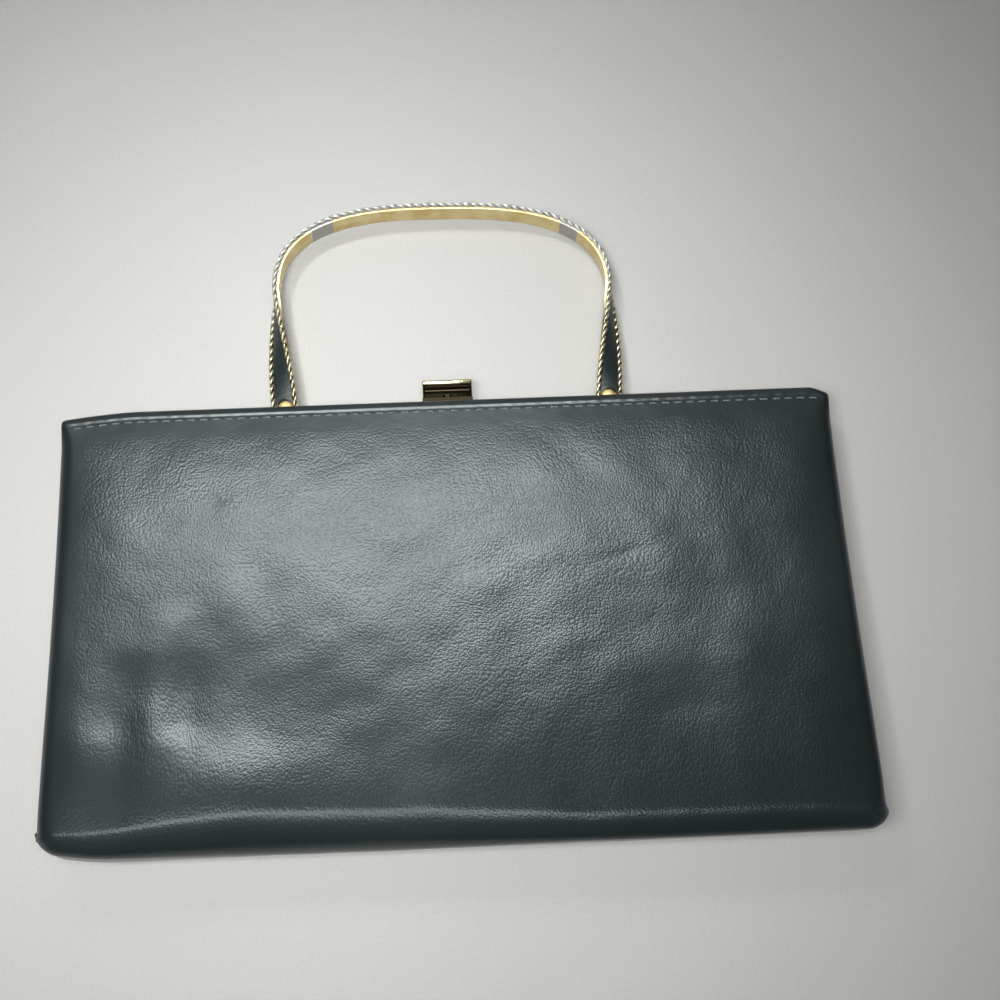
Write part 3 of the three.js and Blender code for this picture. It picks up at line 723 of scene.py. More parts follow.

# %% [markdown]
# Leather
#
# Slate-blue calf with a fine pebble: small cells, drawn out upright low on the left, with short
# wrinkles between them. The cells come from a Voronoi texture whose coordinates are pushed about by
# noise, so no two are alike, and the wrinkles from stretched noise. Most of what the eye sees is
# the broken sheen, so the relief goes into the normal and the colour stays quiet, apart from
# painted shade in the creases between the pebbles.

# %% Grain of the leather
PEBBLES_PER_METRE = 1250.0
PEBBLE_MELT = 0.5
LEVEL_PEBBLE = (1.0, 0.95, 1.0)
UPRIGHT_PEBBLE = (1.15, 0.6, 1.0)
LONG_WRINKLE = (0.3, 1.0, 1.0)
SWEEP = {"scale": 30.0, "reach": 0.008}
PUSH = {"scale": 300.0, "reach": 0.0008}
SCALES = {"wrinkle": 420.0, "broad": 120.0, "tone": 9.0, "scratch": 700.0}
WRINKLE_WIDTH = 0.08


def pushed_about(start, place, skin, push):
    """A place that wanders by soft noise of the skin."""
    shift = noise(start, skin, push["scale"], 1.0, out="Color", flat=True)
    sockets = {0: shift, 1: (push["reach"], push["reach"], 0.0), 2: place}
    return start.node("ShaderNodeVectorMath", {"operation": "MULTIPLY_ADD"}, sockets)


def drawn_out(start, place, stretch):
    return start.node("ShaderNodeMapping", None, {"Vector": place, "Scale": stretch})


def pebbles(start, place, stretch):
    """Distance from the middle of the nearest pebble, for pebbles that are drawn out one way."""
    settings = {"feature": "SMOOTH_F1", "voronoi_dimensions": "2D"}
    drawn = drawn_out(start, place, stretch)
    sockets = {"Vector": drawn, "Scale": PEBBLES_PER_METRE, "Smoothness": PEBBLE_MELT}
    return start.node("ShaderNodeTexVoronoi", settings, sockets, out="Distance")


def leather_grain(start, skin):
    """Distance from the pebbles' middles, and heights of the wrinkles and the broad unevenness."""
    pushed = pushed_about(start, pushed_about(start, skin, skin, SWEEP), skin, PUSH)
    upright = start.kept("upright")
    level = pebbles(start, pushed, LEVEL_PEBBLE)
    standing = pebbles(start, pushed, UPRIGHT_PEBBLE)
    cells = level * (1 - upright) + standing * upright
    lines = noise(start, drawn_out(start, pushed, LONG_WRINKLE), SCALES["wrinkle"], flat=True)
    broad = noise(start, skin, SCALES["broad"], flat=True)
    return cells, abs(lines - 0.5).between(0.0, WRINKLE_WIDTH), broad


print(PEBBLES_PER_METRE, "pebbles to a metre")

# %% Leather materials
SLATE_DARK = (0.018, 0.027, 0.028, 1)
SLATE_LIGHT = (0.024, 0.035, 0.036, 1)
# painted shade for the creases between the pebbles
CREASE_PAINTED_SHADE = (0.014, 0.020, 0.021, 1)
SCUFF_GREY = (0.075, 0.085, 0.085, 1)
SHEEN_TINT = (0.93, 1.0, 1.0, 1)
PEBBLE_SLOPE = 1.6
CREASE_RANGE = (0.30, 0.60)
TONE_RANGE = (0.35, 0.68)
SCRATCH_RANGE = (0.42, 0.62)
CREASE_SHADE = 0.5
ROUGHER = {"tone": 0.04, "scratch": 0.2, "crease": 0.04}
MILLIMETRE = 0.001


def leather(name, depths, roughness):
    """Slate leather; the depths of its pebble, wrinkles and unevenness are in millimetres."""
    start = new_material(name)
    skin = start.node("ShaderNodeTexCoord", out="UV")
    cells, wrinkle, broad = leather_grain(start, skin)
    pebble = 1 - cells * PEBBLE_SLOPE
    grained = start.kept("grain")
    crease = cells.between(*CREASE_RANGE) * grained
    tone = noise(start, skin, SCALES["tone"], 3.0, flat=True).between(*TONE_RANGE)
    scratch = noise(start, skin, SCALES["scratch"], 3.0, flat=True).between(*SCRATCH_RANGE)
    scratchy = start.kept("scuff") * scratch
    # the creases between the pebbles are painted darker in the colour: painted shade
    colour = (crease * CREASE_SHADE).blend(tone.blend(SLATE_DARK, SLATE_LIGHT), CREASE_PAINTED_SHADE)
    rougher = tone * ROUGHER["tone"] + scratchy * ROUGHER["scratch"] + crease * ROUGHER["crease"]
    height = grained * (pebble * depths[0] + wrinkle * depths[1]) + broad * depths[2]
    return surface(start, {
        "Base Color": scratchy.blend(colour, SCUFF_GREY),
        "Roughness": rougher + roughness,
        "Normal": bump(start, height, MILLIMETRE),
        "Specular Tint": SHEEN_TINT,
    })


BODY_LEATHER = leather("slate_leather", (0.032, 0.003, 0.08), 0.275)
END_LEATHER = leather("end_leather", (0.030, 0.020, 0.08), 0.40)
INLAY_LEATHER = leather("inlay_leather", (0.010, 0.010, 0.03), 0.38)
print("leather ready")

# %% Scuffs, thickness and finish of the body
# A patch is given by its place across and up, its width and its height
SCUFFS = ((-0.0761, 0.1138, 0.004, 0.004), (-0.0685, 0.0524, 0.002, 0.002))
FLAT_PATCH = (-0.116, 0.020, 0.016, 0.008)
UPRIGHT_PATCH = (-0.094, 0.044, 0.022, 0.026)
CORNER_WEAR = 0.004
SMOOTH_SIDE = (0.003, 0.014)
SMOOTH_TOP = (0.0075, 0.015)
SMOOTH_BASE = (-0.001, 0.004)
PRESSED_GRAIN = 0.10
FRONT_ABOVE = 0.02


def patch(across, up, spot):
    """A soft oval patch, 1 in its middle."""
    spot_across, spot_up, wide, tall = spot
    return bell(across, spot_across, wide) * bell(up, spot_up, tall)


def scuff_marks(across, up, front):
    """Where the finish is rubbed: the corners of the base, and a few places on the front."""
    rubbed = bell(np.hypot(np.abs(across) - WIDTH / 2, up), 0, CORNER_WEAR)
    for spot in SCUFFS:
        rubbed = np.maximum(rubbed, patch(across, up, spot) * (front > 0))
    return rubbed


def grain_marks(across, up):
    """Where the grain shows: it is pressed flat along every edge, and low on the left."""
    side = eased(half_width(up) - np.abs(across), *SMOOTH_SIDE)
    top = eased(HEIGHT - up, *SMOOTH_TOP)
    inside = side * top * eased(up, *SMOOTH_BASE) * (1 - patch(across, up, FLAT_PATCH))
    return PRESSED_GRAIN + (1 - PRESSED_GRAIN) * inside


mark(leather_body, "scuff", scuff_marks(body_across, body_up, body_front))
mark(leather_body, "grain", grain_marks(body_across, body_up))
mark(leather_body, "upright", patch(body_across, body_up, UPRIGHT_PATCH))
face_out(leather_body, (0, 0, 1), FRONT_ABOVE)
thicken(leather_body, WALL)
smooth(leather_body)
dress(leather_body, "bag", "body_leather", BODY_LEATHER, "body_wrap")

# %% [markdown]
# Stitches of the lip
#
# A lock stitch shows as a row of short rounded threads, each dipping into the leather at both
# ends, where its ends are painted nearly black as painted shade. One thread is rolled up from a
# small flat blank, thinner towards its ends, and copied along both lips.

# %% Thread
THREAD_PALE = (0.27, 0.31, 0.32, 1)
THREAD_DARK = (0.14, 0.165, 0.17, 1)
THREAD_RADIUS = 0.00030
STITCH_LENGTH = 0.0038
STITCH_DIP = 0.00034
STITCH_SINK = 0.00018
STITCH_END = 0.0055
STITCH_PALE = 0.0022
STITCH_STEPS = 10
STITCH_SIDES = 6
# painted shade for the thread's ends where they dip into the leather
HOLE_PAINTED_SHADE = (0.004, 0.005, 0.005, 1)
HOLE_EDGE = 0.0003


def thread_material():
    start = new_material("thread")
    place = start.node("ShaderNodeTexCoord", out="Object")
    ply = noise(start, place, 1500.0, 2.0)
    hole_shade = start.kept("hole_shade")
    return surface(start, {
        # the thread's ends are painted nearly black where they dip: painted shade
        "Base Color": hole_shade.blend(ply.between(0.35, 0.65).blend(THREAD_DARK, THREAD_PALE), HOLE_PAINTED_SHADE),
        "Roughness": ply * 0.1 + hole_shade * 0.3 + 0.55,
        "Normal": bump(start, ply, 0.0001),
    })


def one_stitch():
    """A thread rolled from a flat blank; its ends are thinner, dip, and are marked for painted shade."""
    piece, column, row = flat_blank("one_stitch", STITCH_STEPS, STITCH_SIDES)
    share = 2 * column / STITCH_STEPS - 1
    along = share * STITCH_LENGTH / 2
    thick = THREAD_RADIUS * np.sqrt(1 - share**4)
    turn = 2 * np.pi * row / STITCH_SIDES
    dip = STITCH_DIP * share**2
    move_corners(piece, np.column_stack([along, thick * np.cos(turn), thick * np.sin(turn) - dip]))
    mark(piece, "hole_shade", eased(np.abs(along), STITCH_PALE / 2, STITCH_PALE / 2 + HOLE_EDGE))
    edit(piece, close_tube)
    return piece


def stitch_turns(slope, front):
    """How each stitch turns with the slope of the lip, as matrices from its own axes to the room's."""
    along = np.cos(slope)[:, None] * ACROSS + np.sin(slope)[:, None] * UP
    out = np.broadcast_to(front * FRONT, along.shape)
    return np.stack([along, np.cross(out, along), out], axis=2)


print("one stitch is", STITCH_LENGTH, "m long")

# %% Rows of stitches
count = int((WIDTH - 2 * STITCH_END) / STITCH_PITCH) + 1
stitch_across = (np.arange(count) - (count - 1) / 2) * STITCH_PITCH
stitch_shift = corner_shift(stitch_across, STITCH_HEIGHT)
stitch_slope = np.arctan(np.gradient(stitch_shift, stitch_across))
stitch_out = half_depth(STITCH_HEIGHT) + lip_offset(STITCH_HEIGHT) + THREAD_RADIUS - STITCH_SINK
turns = np.concatenate([stitch_turns(stitch_slope, 1.0), stitch_turns(stitch_slope, -1.0)])
front_out = stitch_out + front_relief(stitch_across, STITCH_HEIGHT)
rows = [laid_down(stitch_across, STITCH_HEIGHT + stitch_shift, out) for out in (front_out, -stitch_out)]
lip_stitches = copies("lip_stitches", one_stitch(), turns, np.concatenate(rows))
smooth(lip_stitches)
dress(lip_stitches, "bag", "body_leather", thread_material())

# %% [markdown]
# Folded ends
#
# Each end of the bag is closed by a strip of leather that folds inwards towards the top, so that
# the frame can open. It is set back behind the rolled edges of the body.

# %% Ends
END_WALL = 0.0014
END_INSET = 0.004
END_FOLD = 0.011
END_MARGIN = 0.15
END_GAP = 0.002
END_START = 0.0023
END_TOP = HEIGHT - 0.019
END_COLUMNS = 36
END_ROWS = 60
END_SPACING = 1.6


def end_edge(up, roll):
    """Half the width of the end's strip on one side, which follows the round of the base."""
    low = np.clip((roll["high"] - up) / (roll["high"] - END_GAP), 0, 1)
    return half_depth(up) - END_GAP - (roll["deep"] - END_GAP) * (1 - np.sqrt(1 - low**2))


def folded_end(name, side, node):
    piece, column, row = flat_blank(name, END_COLUMNS, END_ROWS)
    up = END_START + (END_TOP - END_START) * (row / END_ROWS) ** END_SPACING
    beside = 2 * column / END_COLUMNS - 1
    fold = END_FOLD * eased(up, FRONT_ROLL["high"], END_TOP)
    depth = fold / 2 * (1 + np.cos(np.pi * np.clip(np.abs(beside) / (1 - END_MARGIN), 0, 1)))
    across = side * (half_width(up) - END_INSET - depth)
    out = beside * np.where(beside > 0, end_edge(up, FRONT_ROLL), end_edge(up, BACK_ROLL))
    move_corners(piece, laid_down(across, up, out))
    skin_map(piece, out, up)
    mark(piece, "grain", np.ones(len(up)))
    face_out(piece, (side, 0, 0))
    thicken(piece, END_WALL)
    smooth(piece)
    dress(piece, "bag", "gusset_leather", END_LEATHER, node)


folded_end("folded_end_left", -1, "gusset_left")
folded_end("folded_end_right", 1, "gusset_right")

# %% [markdown]
# The line of the handle
#
# The handle is a flat strip of gilt metal. It leaves the frame facing the front, turns a quarter
# turn in each leg, and crosses the top on its edge. Everything on it, the band, the rope edges and
# the leather inlay, is laid out flat along its length and then carried by one function.

# %% Line and twist of the handle
LEG_ACROSS = 0.057
LEG_SPREAD = 0.0031
LEG_EASE = 6
STRAP_END = HEIGHT - 0.005
ARCH_SPRING = HEIGHT + 0.0456
ARCH_RISE = 0.0356
ARCH_POWER = 2.7
ARCH_LEAN = 0.018
TWIST_START = HEIGHT + 0.004
TWIST_END = HEIGHT + 0.049


def handle_line(leg_steps=120, arch_steps=600):
    """Points along the middle of the strip, from the left foot over the arch to the right foot."""
    up = np.linspace(STRAP_END, ARCH_SPRING, leg_steps, endpoint=False)
    rise = np.clip((up - HEIGHT) / (ARCH_SPRING - HEIGHT), 0, None)
    leg = LEG_ACROSS + LEG_SPREAD * (rise - rise**LEG_EASE / LEG_EASE) / (1 - 1 / LEG_EASE)
    angle = np.linspace(np.pi, 0, arch_steps)
    half = LEG_ACROSS + LEG_SPREAD
    arch_across = half * np.sign(np.cos(angle)) * np.abs(np.cos(angle)) ** (2 / ARCH_POWER)
    arch_up = ARCH_SPRING + ARCH_RISE * np.abs(np.sin(angle)) ** (2 / ARCH_POWER)
    across = np.concatenate([-leg, arch_across, leg[::-1]])
    height = np.concatenate([up, arch_up, up[::-1]])
    height = height - ARCH_LEAN * across * eased(height, HEIGHT, ARCH_SPRING + ARCH_RISE)
    return np.column_stack([across, height])


HANDLE_LINE = handle_line()
HANDLE_RUN = np.concatenate([[0.0], np.cumsum(np.hypot(*np.diff(HANDLE_LINE, axis=0).T))])
HANDLE_LENGTH = HANDLE_RUN[-1]
HANDLE_TABLE = np.column_stack([HANDLE_LINE, np.gradient(HANDLE_LINE, HANDLE_RUN, axis=0)])


def on_handle(along, beside, out):
    """Places in the room of points given along, beside and out of the strip's outer face."""
    along, beside, out = np.broadcast_arrays(along, beside, out)
    read = [np.interp(along, HANDLE_RUN, column) for column in HANDLE_TABLE.T]
    across, up, head_across, head_up = read
    length = np.hypot(head_across, head_up)
    side_across, side_up = -head_up / length, head_across / length
    twist = np.pi / 2 * np.clip((up - TWIST_START) / (TWIST_END - TWIST_START), 0, 1)
    sideways = beside * np.cos(twist) + out * np.sin(twist)
    forward = out * np.cos(twist) - beside * np.sin(twist)
    return laid_down(across + sideways * side_across, up + sideways * side_up, forward)


print("handle strip", round(HANDLE_LENGTH * 1000, 1), "mm long")

# %% [markdown]
# Metals
#
# The gilt is thin: bright and clear where it is sheltered, and gone to bare grey metal in two places
# inside the arch. The rope edges turn silver towards the top of the handle, partly gilt rubbed off
# by hands and partly a painted highlight for the light that the arch catches, and the grooves between
# their strands are painted near black as painted shade. A metal's look is nearly all reflection, so
# small changes of roughness matter more than its colour.

# %% Metal materials
GOLD_DEEP = (0.62, 0.46, 0.19, 1)
GOLD_PALE = (0.80, 0.68, 0.38, 1)
CREAM_GOLD = (0.93, 0.84, 0.62, 1)
SILVER = (0.88, 0.87, 0.82, 1)
BARE_GREY = (0.42, 0.41, 0.39, 1)
# painted shade for the band under the edges of the inlay
INLAY_EDGE_SHADE = (0.10, 0.06, 0.025, 1)
# near black serves only as painted shade and painted reflection
NEAR_BLACK = (0.012, 0.010, 0.006, 1)
UMBER = (0.026, 0.020, 0.012, 1)
RUBBED_AND_HIGHLIT_FROM = (0.060, 0.100)
GILT_GONE = (0.62, 0.82)


def metal_base(name):
    """A metal to start from, with its place and a soft mottle."""
    start = new_material(name)
    place = start.node("ShaderNodeTexCoord", out="Object")
    mottle = noise(start, place, 160.0, 2.0).between(0.2, 0.8)
    return start, place, mottle


def plain_gold(name, deep, pale, roughness):
    start, place, mottle = metal_base(name)
    scratches = noise(start, place, 2600.0, 2.0)
    return surface(start, {
        "Base Color": mottle.blend(deep, pale),
        "Metallic": 1.0,
        "Roughness": mottle * 0.08 + roughness,
        "Normal": bump(start, scratches, 0.00002, 0.5),
    })


def rope_material():
    """Gold in the legs, silver towards the top as rubbed gilt and painted highlight, painted shade in
    grooves.
    """
    start, place, mottle = metal_base("rope_metal")
    up = start.node("ShaderNodeSeparateXYZ", None, {0: place}, out="Y")
    # towards the top the rope is painted silver: rubbed gilt, and a painted highlight
    rubbed = up.between(*RUBBED_AND_HIGHLIT_FROM)
    groove_shade = start.kept("groove_shade")
    colour = rubbed.blend(mottle.blend(GOLD_PALE, CREAM_GOLD), SILVER)
    # the grooves between the strands are painted near black: painted shade
    colour = (groove_shade * (1 - rubbed * 0.5)).blend(colour, NEAR_BLACK)
    metallic = 1 - rubbed * 0.5
    return surface(start, {"Base Color": colour, "Metallic": metallic, "Roughness": mottle * 0.1 + 0.24})


def band_material():
    """Satin gold with two patches where the gilt has gone, and painted shade under the inlay's edges."""
    start, place, mottle = metal_base("band_metal")
    bare = start.kept("bare")
    inlay_shade = start.kept("inlay_shade")
    ragged = noise(start, place, 900.0, 3.0)
    gone = (bare + ragged * 0.5).between(*GILT_GONE)
    colour = gone.blend(mottle.blend(GOLD_DEEP, GOLD_PALE), BARE_GREY)
    # the band is painted dark brown under the inlay, out to near its edges: painted shade
    colour = inlay_shade.blend(colour, INLAY_EDGE_SHADE)
    return surface(start, {
        "Base Color": colour,
        "Metallic": 1.0,
        "Roughness": mottle * 0.08 + gone * 0.12 + 0.3,
        "Normal": bump(start, ragged, 0.00004, 0.5),
    })


RIVET_GOLD = plain_gold("rivet_gold", GOLD_DEEP, GOLD_PALE, 0.55)
# the frame's gilt is painted nearly black: painted shade and painted dark reflection
FRAME_PAINTED_SHADE = plain_gold("frame_gold_painted_shade", NEAR_BLACK, UMBER, 0.40)
print("metals ready")

# %% [markdown]
# Band, rope edges and inlay
#
# The band is a thin strip between two twisted edges that imitate rope. A rope edge is two strands
# wound round each other: each strand is a flat blank, rolled up to a tube that circles the line of
# the edge. The inlay is a strip of the same leather, domed by its filling, and cut hollow at both
# ends to leave room for the rivets.

# %% Band of the handle
BAND_HALF = 0.0036
BAND_GRID = (520, 8)
BAND_FRONT = 0.00015
BAND_THICK = 0.0011
BARE_PATCHES = ((0.0821, 0.0914), (0.1765, 0.1848))
PATCH_SOFT = 0.0012
INLAY_SHADE_WIDTH = 0.0008


def handle_strip(name, grid, half, foot=np.zeros_like):
    """A flat strip along the handle: its corners along and beside it, between its two end curves."""
    piece, column, row = flat_blank(name, *grid)
    beside = half * (2 * row / grid[1] - 1)
    along = foot(beside) + (HANDLE_LENGTH - 2 * foot(beside)) * column / grid[0]
    return piece, along, beside


handle_band, along, beside = handle_strip("handle_band", BAND_GRID, BAND_HALF)
move_corners(handle_band, on_handle(along, beside, BAND_FRONT))
bare = np.zeros_like(along)
for begin, finish in BARE_PATCHES:
    bare += eased(along, begin, begin + PATCH_SOFT) * (1 - eased(along, finish - PATCH_SOFT / 4, finish))
face_out(handle_band, UP)
thicken(handle_band, BAND_THICK)
# the outer face is marked under the inlay for painted shade
under_inlay = 1 - eased(np.abs(beside), BAND_HALF - INLAY_SHADE_WIDTH, BAND_HALF)
mark(handle_band, "bare", np.concatenate([bare, bare]))
mark(handle_band, "inlay_shade", np.concatenate([under_inlay, 0 * under_inlay]))
smooth(handle_band)
dress(handle_band, "bag", "gold_metal", band_material(), "handle_strap")

# %% Rope edges
STRAND_RADIUS = 0.00060
STRAND_OFFSET = 0.00036
STRAND_TURN = 0.0060
STRAND_STEPS = 14
STRAND_SIDES = 10
GROOVE = (-0.3, 0.3)
ROPE_BESIDE = 0.00385
ROPE_OUT = 0.0006


def rope_edge(name, rope_beside):
    """Two strands wound round one edge of the band, each rolled up from a flat blank."""
    steps = int(HANDLE_LENGTH / STRAND_TURN * STRAND_STEPS)
    strands = []
    for start in (0, np.pi):
        strand, column, row = flat_blank(name, steps, STRAND_SIDES)
        along = HANDLE_LENGTH * column / steps
        wind = 2 * np.pi * along / STRAND_TURN + start
        round_it = 2 * np.pi * row / STRAND_SIDES
        beside = rope_beside + STRAND_OFFSET * np.cos(wind) + STRAND_RADIUS * np.cos(round_it)
        out = ROPE_OUT + STRAND_OFFSET * np.sin(wind) + STRAND_RADIUS * np.sin(round_it)
        move_corners(strand, on_handle(along, beside, out))
        # marks the inner side of each strand, where the grooves get their painted shade
        mark(strand, "groove_shade", 1 - eased(np.cos(round_it - wind), *GROOVE))
        edit(strand, close_tube)
        strands.append(strand)
    piece = joined(name, strands)
    smooth(piece)
    return piece


ROPE_METAL = rope_material()
for name, side in (("rope_edge_inner", -1), ("rope_edge_outer", 1)):
    dress(rope_edge(name, side * ROPE_BESIDE), "bag", "gold_metal", ROPE_METAL)

# %% Leather inlay
INLAY_HALF = 0.0030
INLAY_GRID = (420, 10)
INLAY_EDGE = 0.00075
INLAY_CROWN = 0.0010
INLAY_THICK = 0.00055
RIVET_ALONG = 0.0085
RIVET_HEAD = 0.0026
RIVET_CLEAR = 0.0002
WRINKLE = 0.00012
WRINKLE_PITCH = 0.0021
WRINKLE_REACH = 0.006


def inlay_foot(beside):
    """The inlay's end, cut hollow round a rivet."""
    return RIVET_ALONG + np.sqrt(np.clip((RIVET_HEAD + RIVET_CLEAR) ** 2 - beside**2, 0, None))


inlay_strip, along, beside = handle_strip("inlay_strip", INLAY_GRID, INLAY_HALF, inlay_foot)
crown = 1 - (beside / INLAY_HALF) ** 2
dome = INLAY_EDGE + (INLAY_CROWN - INLAY_EDGE) * crown
from_end = np.minimum(along, HANDLE_LENGTH - along) - RIVET_ALONG - RIVET_HEAD
fading = np.exp(-np.clip(from_end, 0, None) / WRINKLE_REACH)
ripple = WRINKLE * np.cos(2 * np.pi * from_end / WRINKLE_PITCH) * fading
move_corners(inlay_strip, on_handle(along, beside, dome + ripple * crown))
skin_map(inlay_strip, beside, along)
mark(inlay_strip, "grain", np.ones(len(along)))
face_out(inlay_strip, UP)
thicken(inlay_strip, INLAY_THICK)
smooth(inlay_strip)
dress(inlay_strip, "bag", "inlay_leather", INLAY_LEATHER, "handle_inlay")

# %% [markdown]
# Rivets
#
# A domed rivet holds each foot of the handle to a lug of the frame. Half a ball is flattened to a
# dome, its flat side is extruded to a thin rim, drawn in to the shank, and spread again behind the
# lug, as a real rivet is set.

# %% Rivets
RIVET_HEIGHT = HEIGHT + 0.0035
RIVET_BASE = 0.0002
RIVET_RIM = 0.0002
RIVET_DOME = 0.0008
RIVET_SHANK = 0.0013
SHANK_LENGTH = 0.0033
RIVET_TAIL = 0.0023
TAIL_THICK = 0.0007
RIVET_SIDES = 32


def push_down(depth):
    bpy.ops.mesh.extrude_region_move(TRANSFORM_OT_translate={"value": (0, 0, -depth)})


def spread(share):
    bpy.ops.transform.resize(value=(share, share, 1))


def cut_half_and_set():
    """Cuts the ball in half and draws the rim, the shank and the tail out of its flat side."""
    bpy.ops.mesh.bisect(plane_co=(0, 0, 0), plane_no=(0, 0, 1), use_fill=True, clear_inner=True)
    push_down(RIVET_RIM)
    push_down(0)
    spread(RIVET_SHANK / RIVET_HEAD)
    push_down(SHANK_LENGTH)
    push_down(0)
    spread(RIVET_TAIL / RIVET_SHANK)
    push_down(TAIL_THICK)


def rivet(name, side, node):
    ball = {"segments": RIVET_SIDES, "ring_count": RIVET_SIDES // 2, "radius": RIVET_HEAD}
    piece = added(name, bpy.ops.mesh.primitive_uv_sphere_add, **ball)
    edit(piece, cut_half_and_set)
    corners = corners_of(piece)
    corners[:, 2] = np.where(corners[:, 2] > 0, corners[:, 2] * RIVET_DOME / RIVET_HEAD, corners[:, 2])
    move_corners(piece, corners + (side * LEG_ACROSS, RIVET_HEIGHT, RIVET_BASE + RIVET_RIM))
    lay_down(piece)
    smooth(piece, 40)
    dress(piece, "bag", "gold_metal", RIVET_GOLD, node)


rivet("rivet_dome_left", -1, "rivet_left")
rivet("rivet_dome_right", 1, "rivet_right")

# %% [markdown]
# Clasp
#
# The clasp is a tab of gilt sheet with a hollowed face, a rolled bead along its top, a cheek at
# each end and a barrel behind, on which it turns. The sheet is pressed from a flat blank, with a
# slot left for the peg of the frame. All but the bead is painted near black, a painted reflection of
# the dark room; the pale gold bead mirrors the light.

# %% Sizes of the clasp
TAB_HALF = 0.0086
TAB_LOW = HEIGHT + 0.0037
TAB_TOP = HEIGHT + 0.0099
TAB_LOW_OUT = 0.0034
TAB_TOP_OUT = 0.0027
TAB_HOLLOW = 0.0013
TAB_SHEET = 0.0011
TAB_CHEEK = 0.0008
BEAD_RADIUS = 0.0011
BEAD_OVERHANG = 0.0002
SLOT_HALF = 0.0012
SLOT_TOP = HEIGHT + 0.0053
BARREL_RADIUS = 0.0017
BARREL_HALF = 0.004
PIN_UP = HEIGHT + 0.0022
PIN_OUT = -0.0002
WEB_THICK = 0.0012
WEB_SINK = 1.4
CHEEK_PROUD = 0.00005
SHEET_BEVEL = 0.00012
ROD_BEVEL = 0.45
ROD_SIDES = 24
BEVEL = {"segments": 3, "limit_method": "ANGLE", "angle_limit": math.radians(50)}


def tab_profile(up):
    """How far out the hollowed face and its straight chord are at a height."""
    share = (up - TAB_LOW) / (TAB_TOP - TAB_LOW)
    chord = TAB_LOW_OUT + (TAB_TOP_OUT - TAB_LOW_OUT) * share
    return chord - TAB_HOLLOW * np.sin(np.pi * share), chord


def bevel_edges(piece, width):
    apply_modifier(piece, "BEVEL", width=width, **BEVEL)


print("clasp", round(2 * TAB_HALF * 1000, 1), "mm wide")

# %% Parts of the clasp


def tab_sheet():
    """The hollowed sheet, with its slot."""
    outer = np.linspace(SLOT_HALF, TAB_HALF, 7)
    stations = np.concatenate([-outer[::-1], [0.0], outer])
    heights = np.concatenate([[TAB_LOW], np.linspace(SLOT_TOP, TAB_TOP, 11)])
    heights = np.insert(heights, 1, (TAB_LOW + SLOT_TOP) / 2)
    piece, column, row = flat_blank("tab_sheet", len(stations) - 1, len(heights) - 1)
    across, up = stations[column], heights[row]
    move_corners(piece, np.column_stack([across, up, tab_profile(up)[0]]))
    face_out(piece, (0, 0, 1))

    def cut_slot():
        bpy.ops.mesh.select_all(action="DESELECT")
        bpy.ops.object.mode_set(mode="OBJECT")
        for face in piece.data.polygons:
            face.select = abs(face.center.x) < SLOT_HALF and face.center.y < SLOT_TOP
        bpy.ops.object.mode_set(mode="EDIT")
        bpy.ops.mesh.delete(type="FACE")

    edit(piece, cut_slot)
    thicken(piece, TAB_SHEET)
    bevel_edges(piece, SHEET_BEVEL)
    return piece


def tab_cheek(side):
    """One end of the hollow, closed from the sheet to its chord."""
    heights = np.linspace(TAB_LOW, TAB_TOP, 9)
    piece, column, row = flat_blank("tab_cheek", 1, len(heights) - 1)
    face, chord = tab_profile(heights[row])
    out = np.where(column > 0, chord + CHEEK_PROUD, face - TAB_SHEET / 2)
    move_corners(piece, np.column_stack([np.full(len(row), side * TAB_HALF), heights[row], out]))
    face_out(piece, (side, 0, 0))
    thicken(piece, TAB_CHEEK)
    return piece


def rod(name, radius, half, up, out):
    """A round rod across the bag with softened ends."""
    size = {"vertices": ROD_SIDES, "radius": radius, "depth": 2 * half}
    piece = added(name, bpy.ops.mesh.primitive_cylinder_add, **size, rotation=(0, math.pi / 2, 0))
    bpy.ops.object.transform_apply(rotation=True)
    bevel_edges(piece, radius * ROD_BEVEL)
    corners = corners_of(piece)
    move_corners(piece, corners + (0, up, out))
    return piece


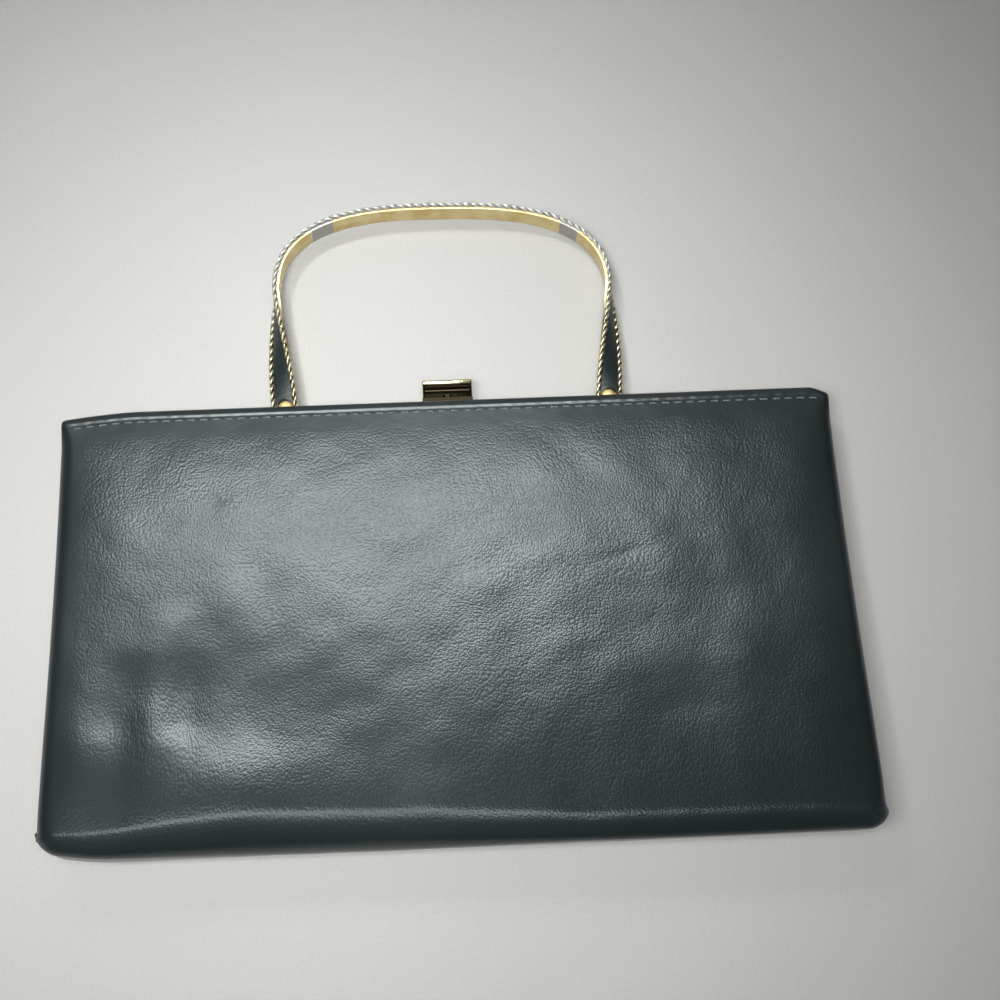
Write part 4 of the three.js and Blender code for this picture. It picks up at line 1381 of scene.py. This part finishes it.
def tab_web():
    """The strap that joins the sheet to its barrel."""
    piece = added("tab_web", bpy.ops.mesh.primitive_cube_add, size=2)
    corners = corners_of(piece)
    high = corners[:, 1] > 0
    up = np.where(high, TAB_LOW + TAB_SHEET, PIN_UP + BARREL_RADIUS / 2)
    middle = np.where(high, TAB_LOW_OUT - TAB_SHEET * WEB_SINK, PIN_OUT)
    out = middle + corners[:, 2] * WEB_THICK / 2
    move_corners(piece, np.column_stack([corners[:, 0] * BARREL_HALF, up, out]))
    return piece


# %% Clasp tab


def clasp_material():
    """Polished gilt, cream on the bead; the rest is painted near black as a painted dark reflection."""
    start, _, mottle = metal_base("clasp_metal")
    hollow = start.kept("hollow")
    colour = hollow.blend(mottle.blend(GOLD_PALE, CREAM_GOLD), NEAR_BLACK)
    return surface(start, {"Base Color": colour, "Metallic": 1.0, "Roughness": mottle * 0.06 + 0.18})


sheet = tab_sheet()
cheeks = [tab_cheek(-1), tab_cheek(1)]
bead = rod("tab_bead", BEAD_RADIUS, TAB_HALF + BEAD_OVERHANG, TAB_TOP, TAB_TOP_OUT - TAB_SHEET / 2)
barrel = rod("tab_barrel", BARREL_RADIUS, BARREL_HALF, PIN_UP, PIN_OUT)
parts = [sheet, *cheeks, bead, barrel, tab_web()]
# all but the bead is marked to be painted near black: a painted reflection of the dark room
for part in parts:
    mark(part, "hollow", np.full(len(part.data.vertices), 0.0 if part is bead else 1.0))
clasp_tab = joined("clasp_tab", parts)
lay_down(clasp_tab)
smooth(clasp_tab, 40)
dress(clasp_tab, "clasp", "gold_metal", clasp_material(), "clasp_lever")

# %% [markdown]
# Plain metal pieces
#
# The rails of the frame, their hinge pins and the clasp's pin are plain metal already at their
# true shape, so they keep their solids and only take a finish: gilt painted nearly black, as painted
# shade and a painted dark reflection.

# %% Finish of the frame
for name in ("frame_front", "frame_back", "frame_pin_left", "frame_pin_right", "clasp_pin"):
    solid = frame["nodes"][name]
    solid.data.materials.clear()
    solid.data.materials.append(FRAME_PAINTED_SHADE)
    print(name, "finished in", FRAME_PAINTED_SHADE.name)
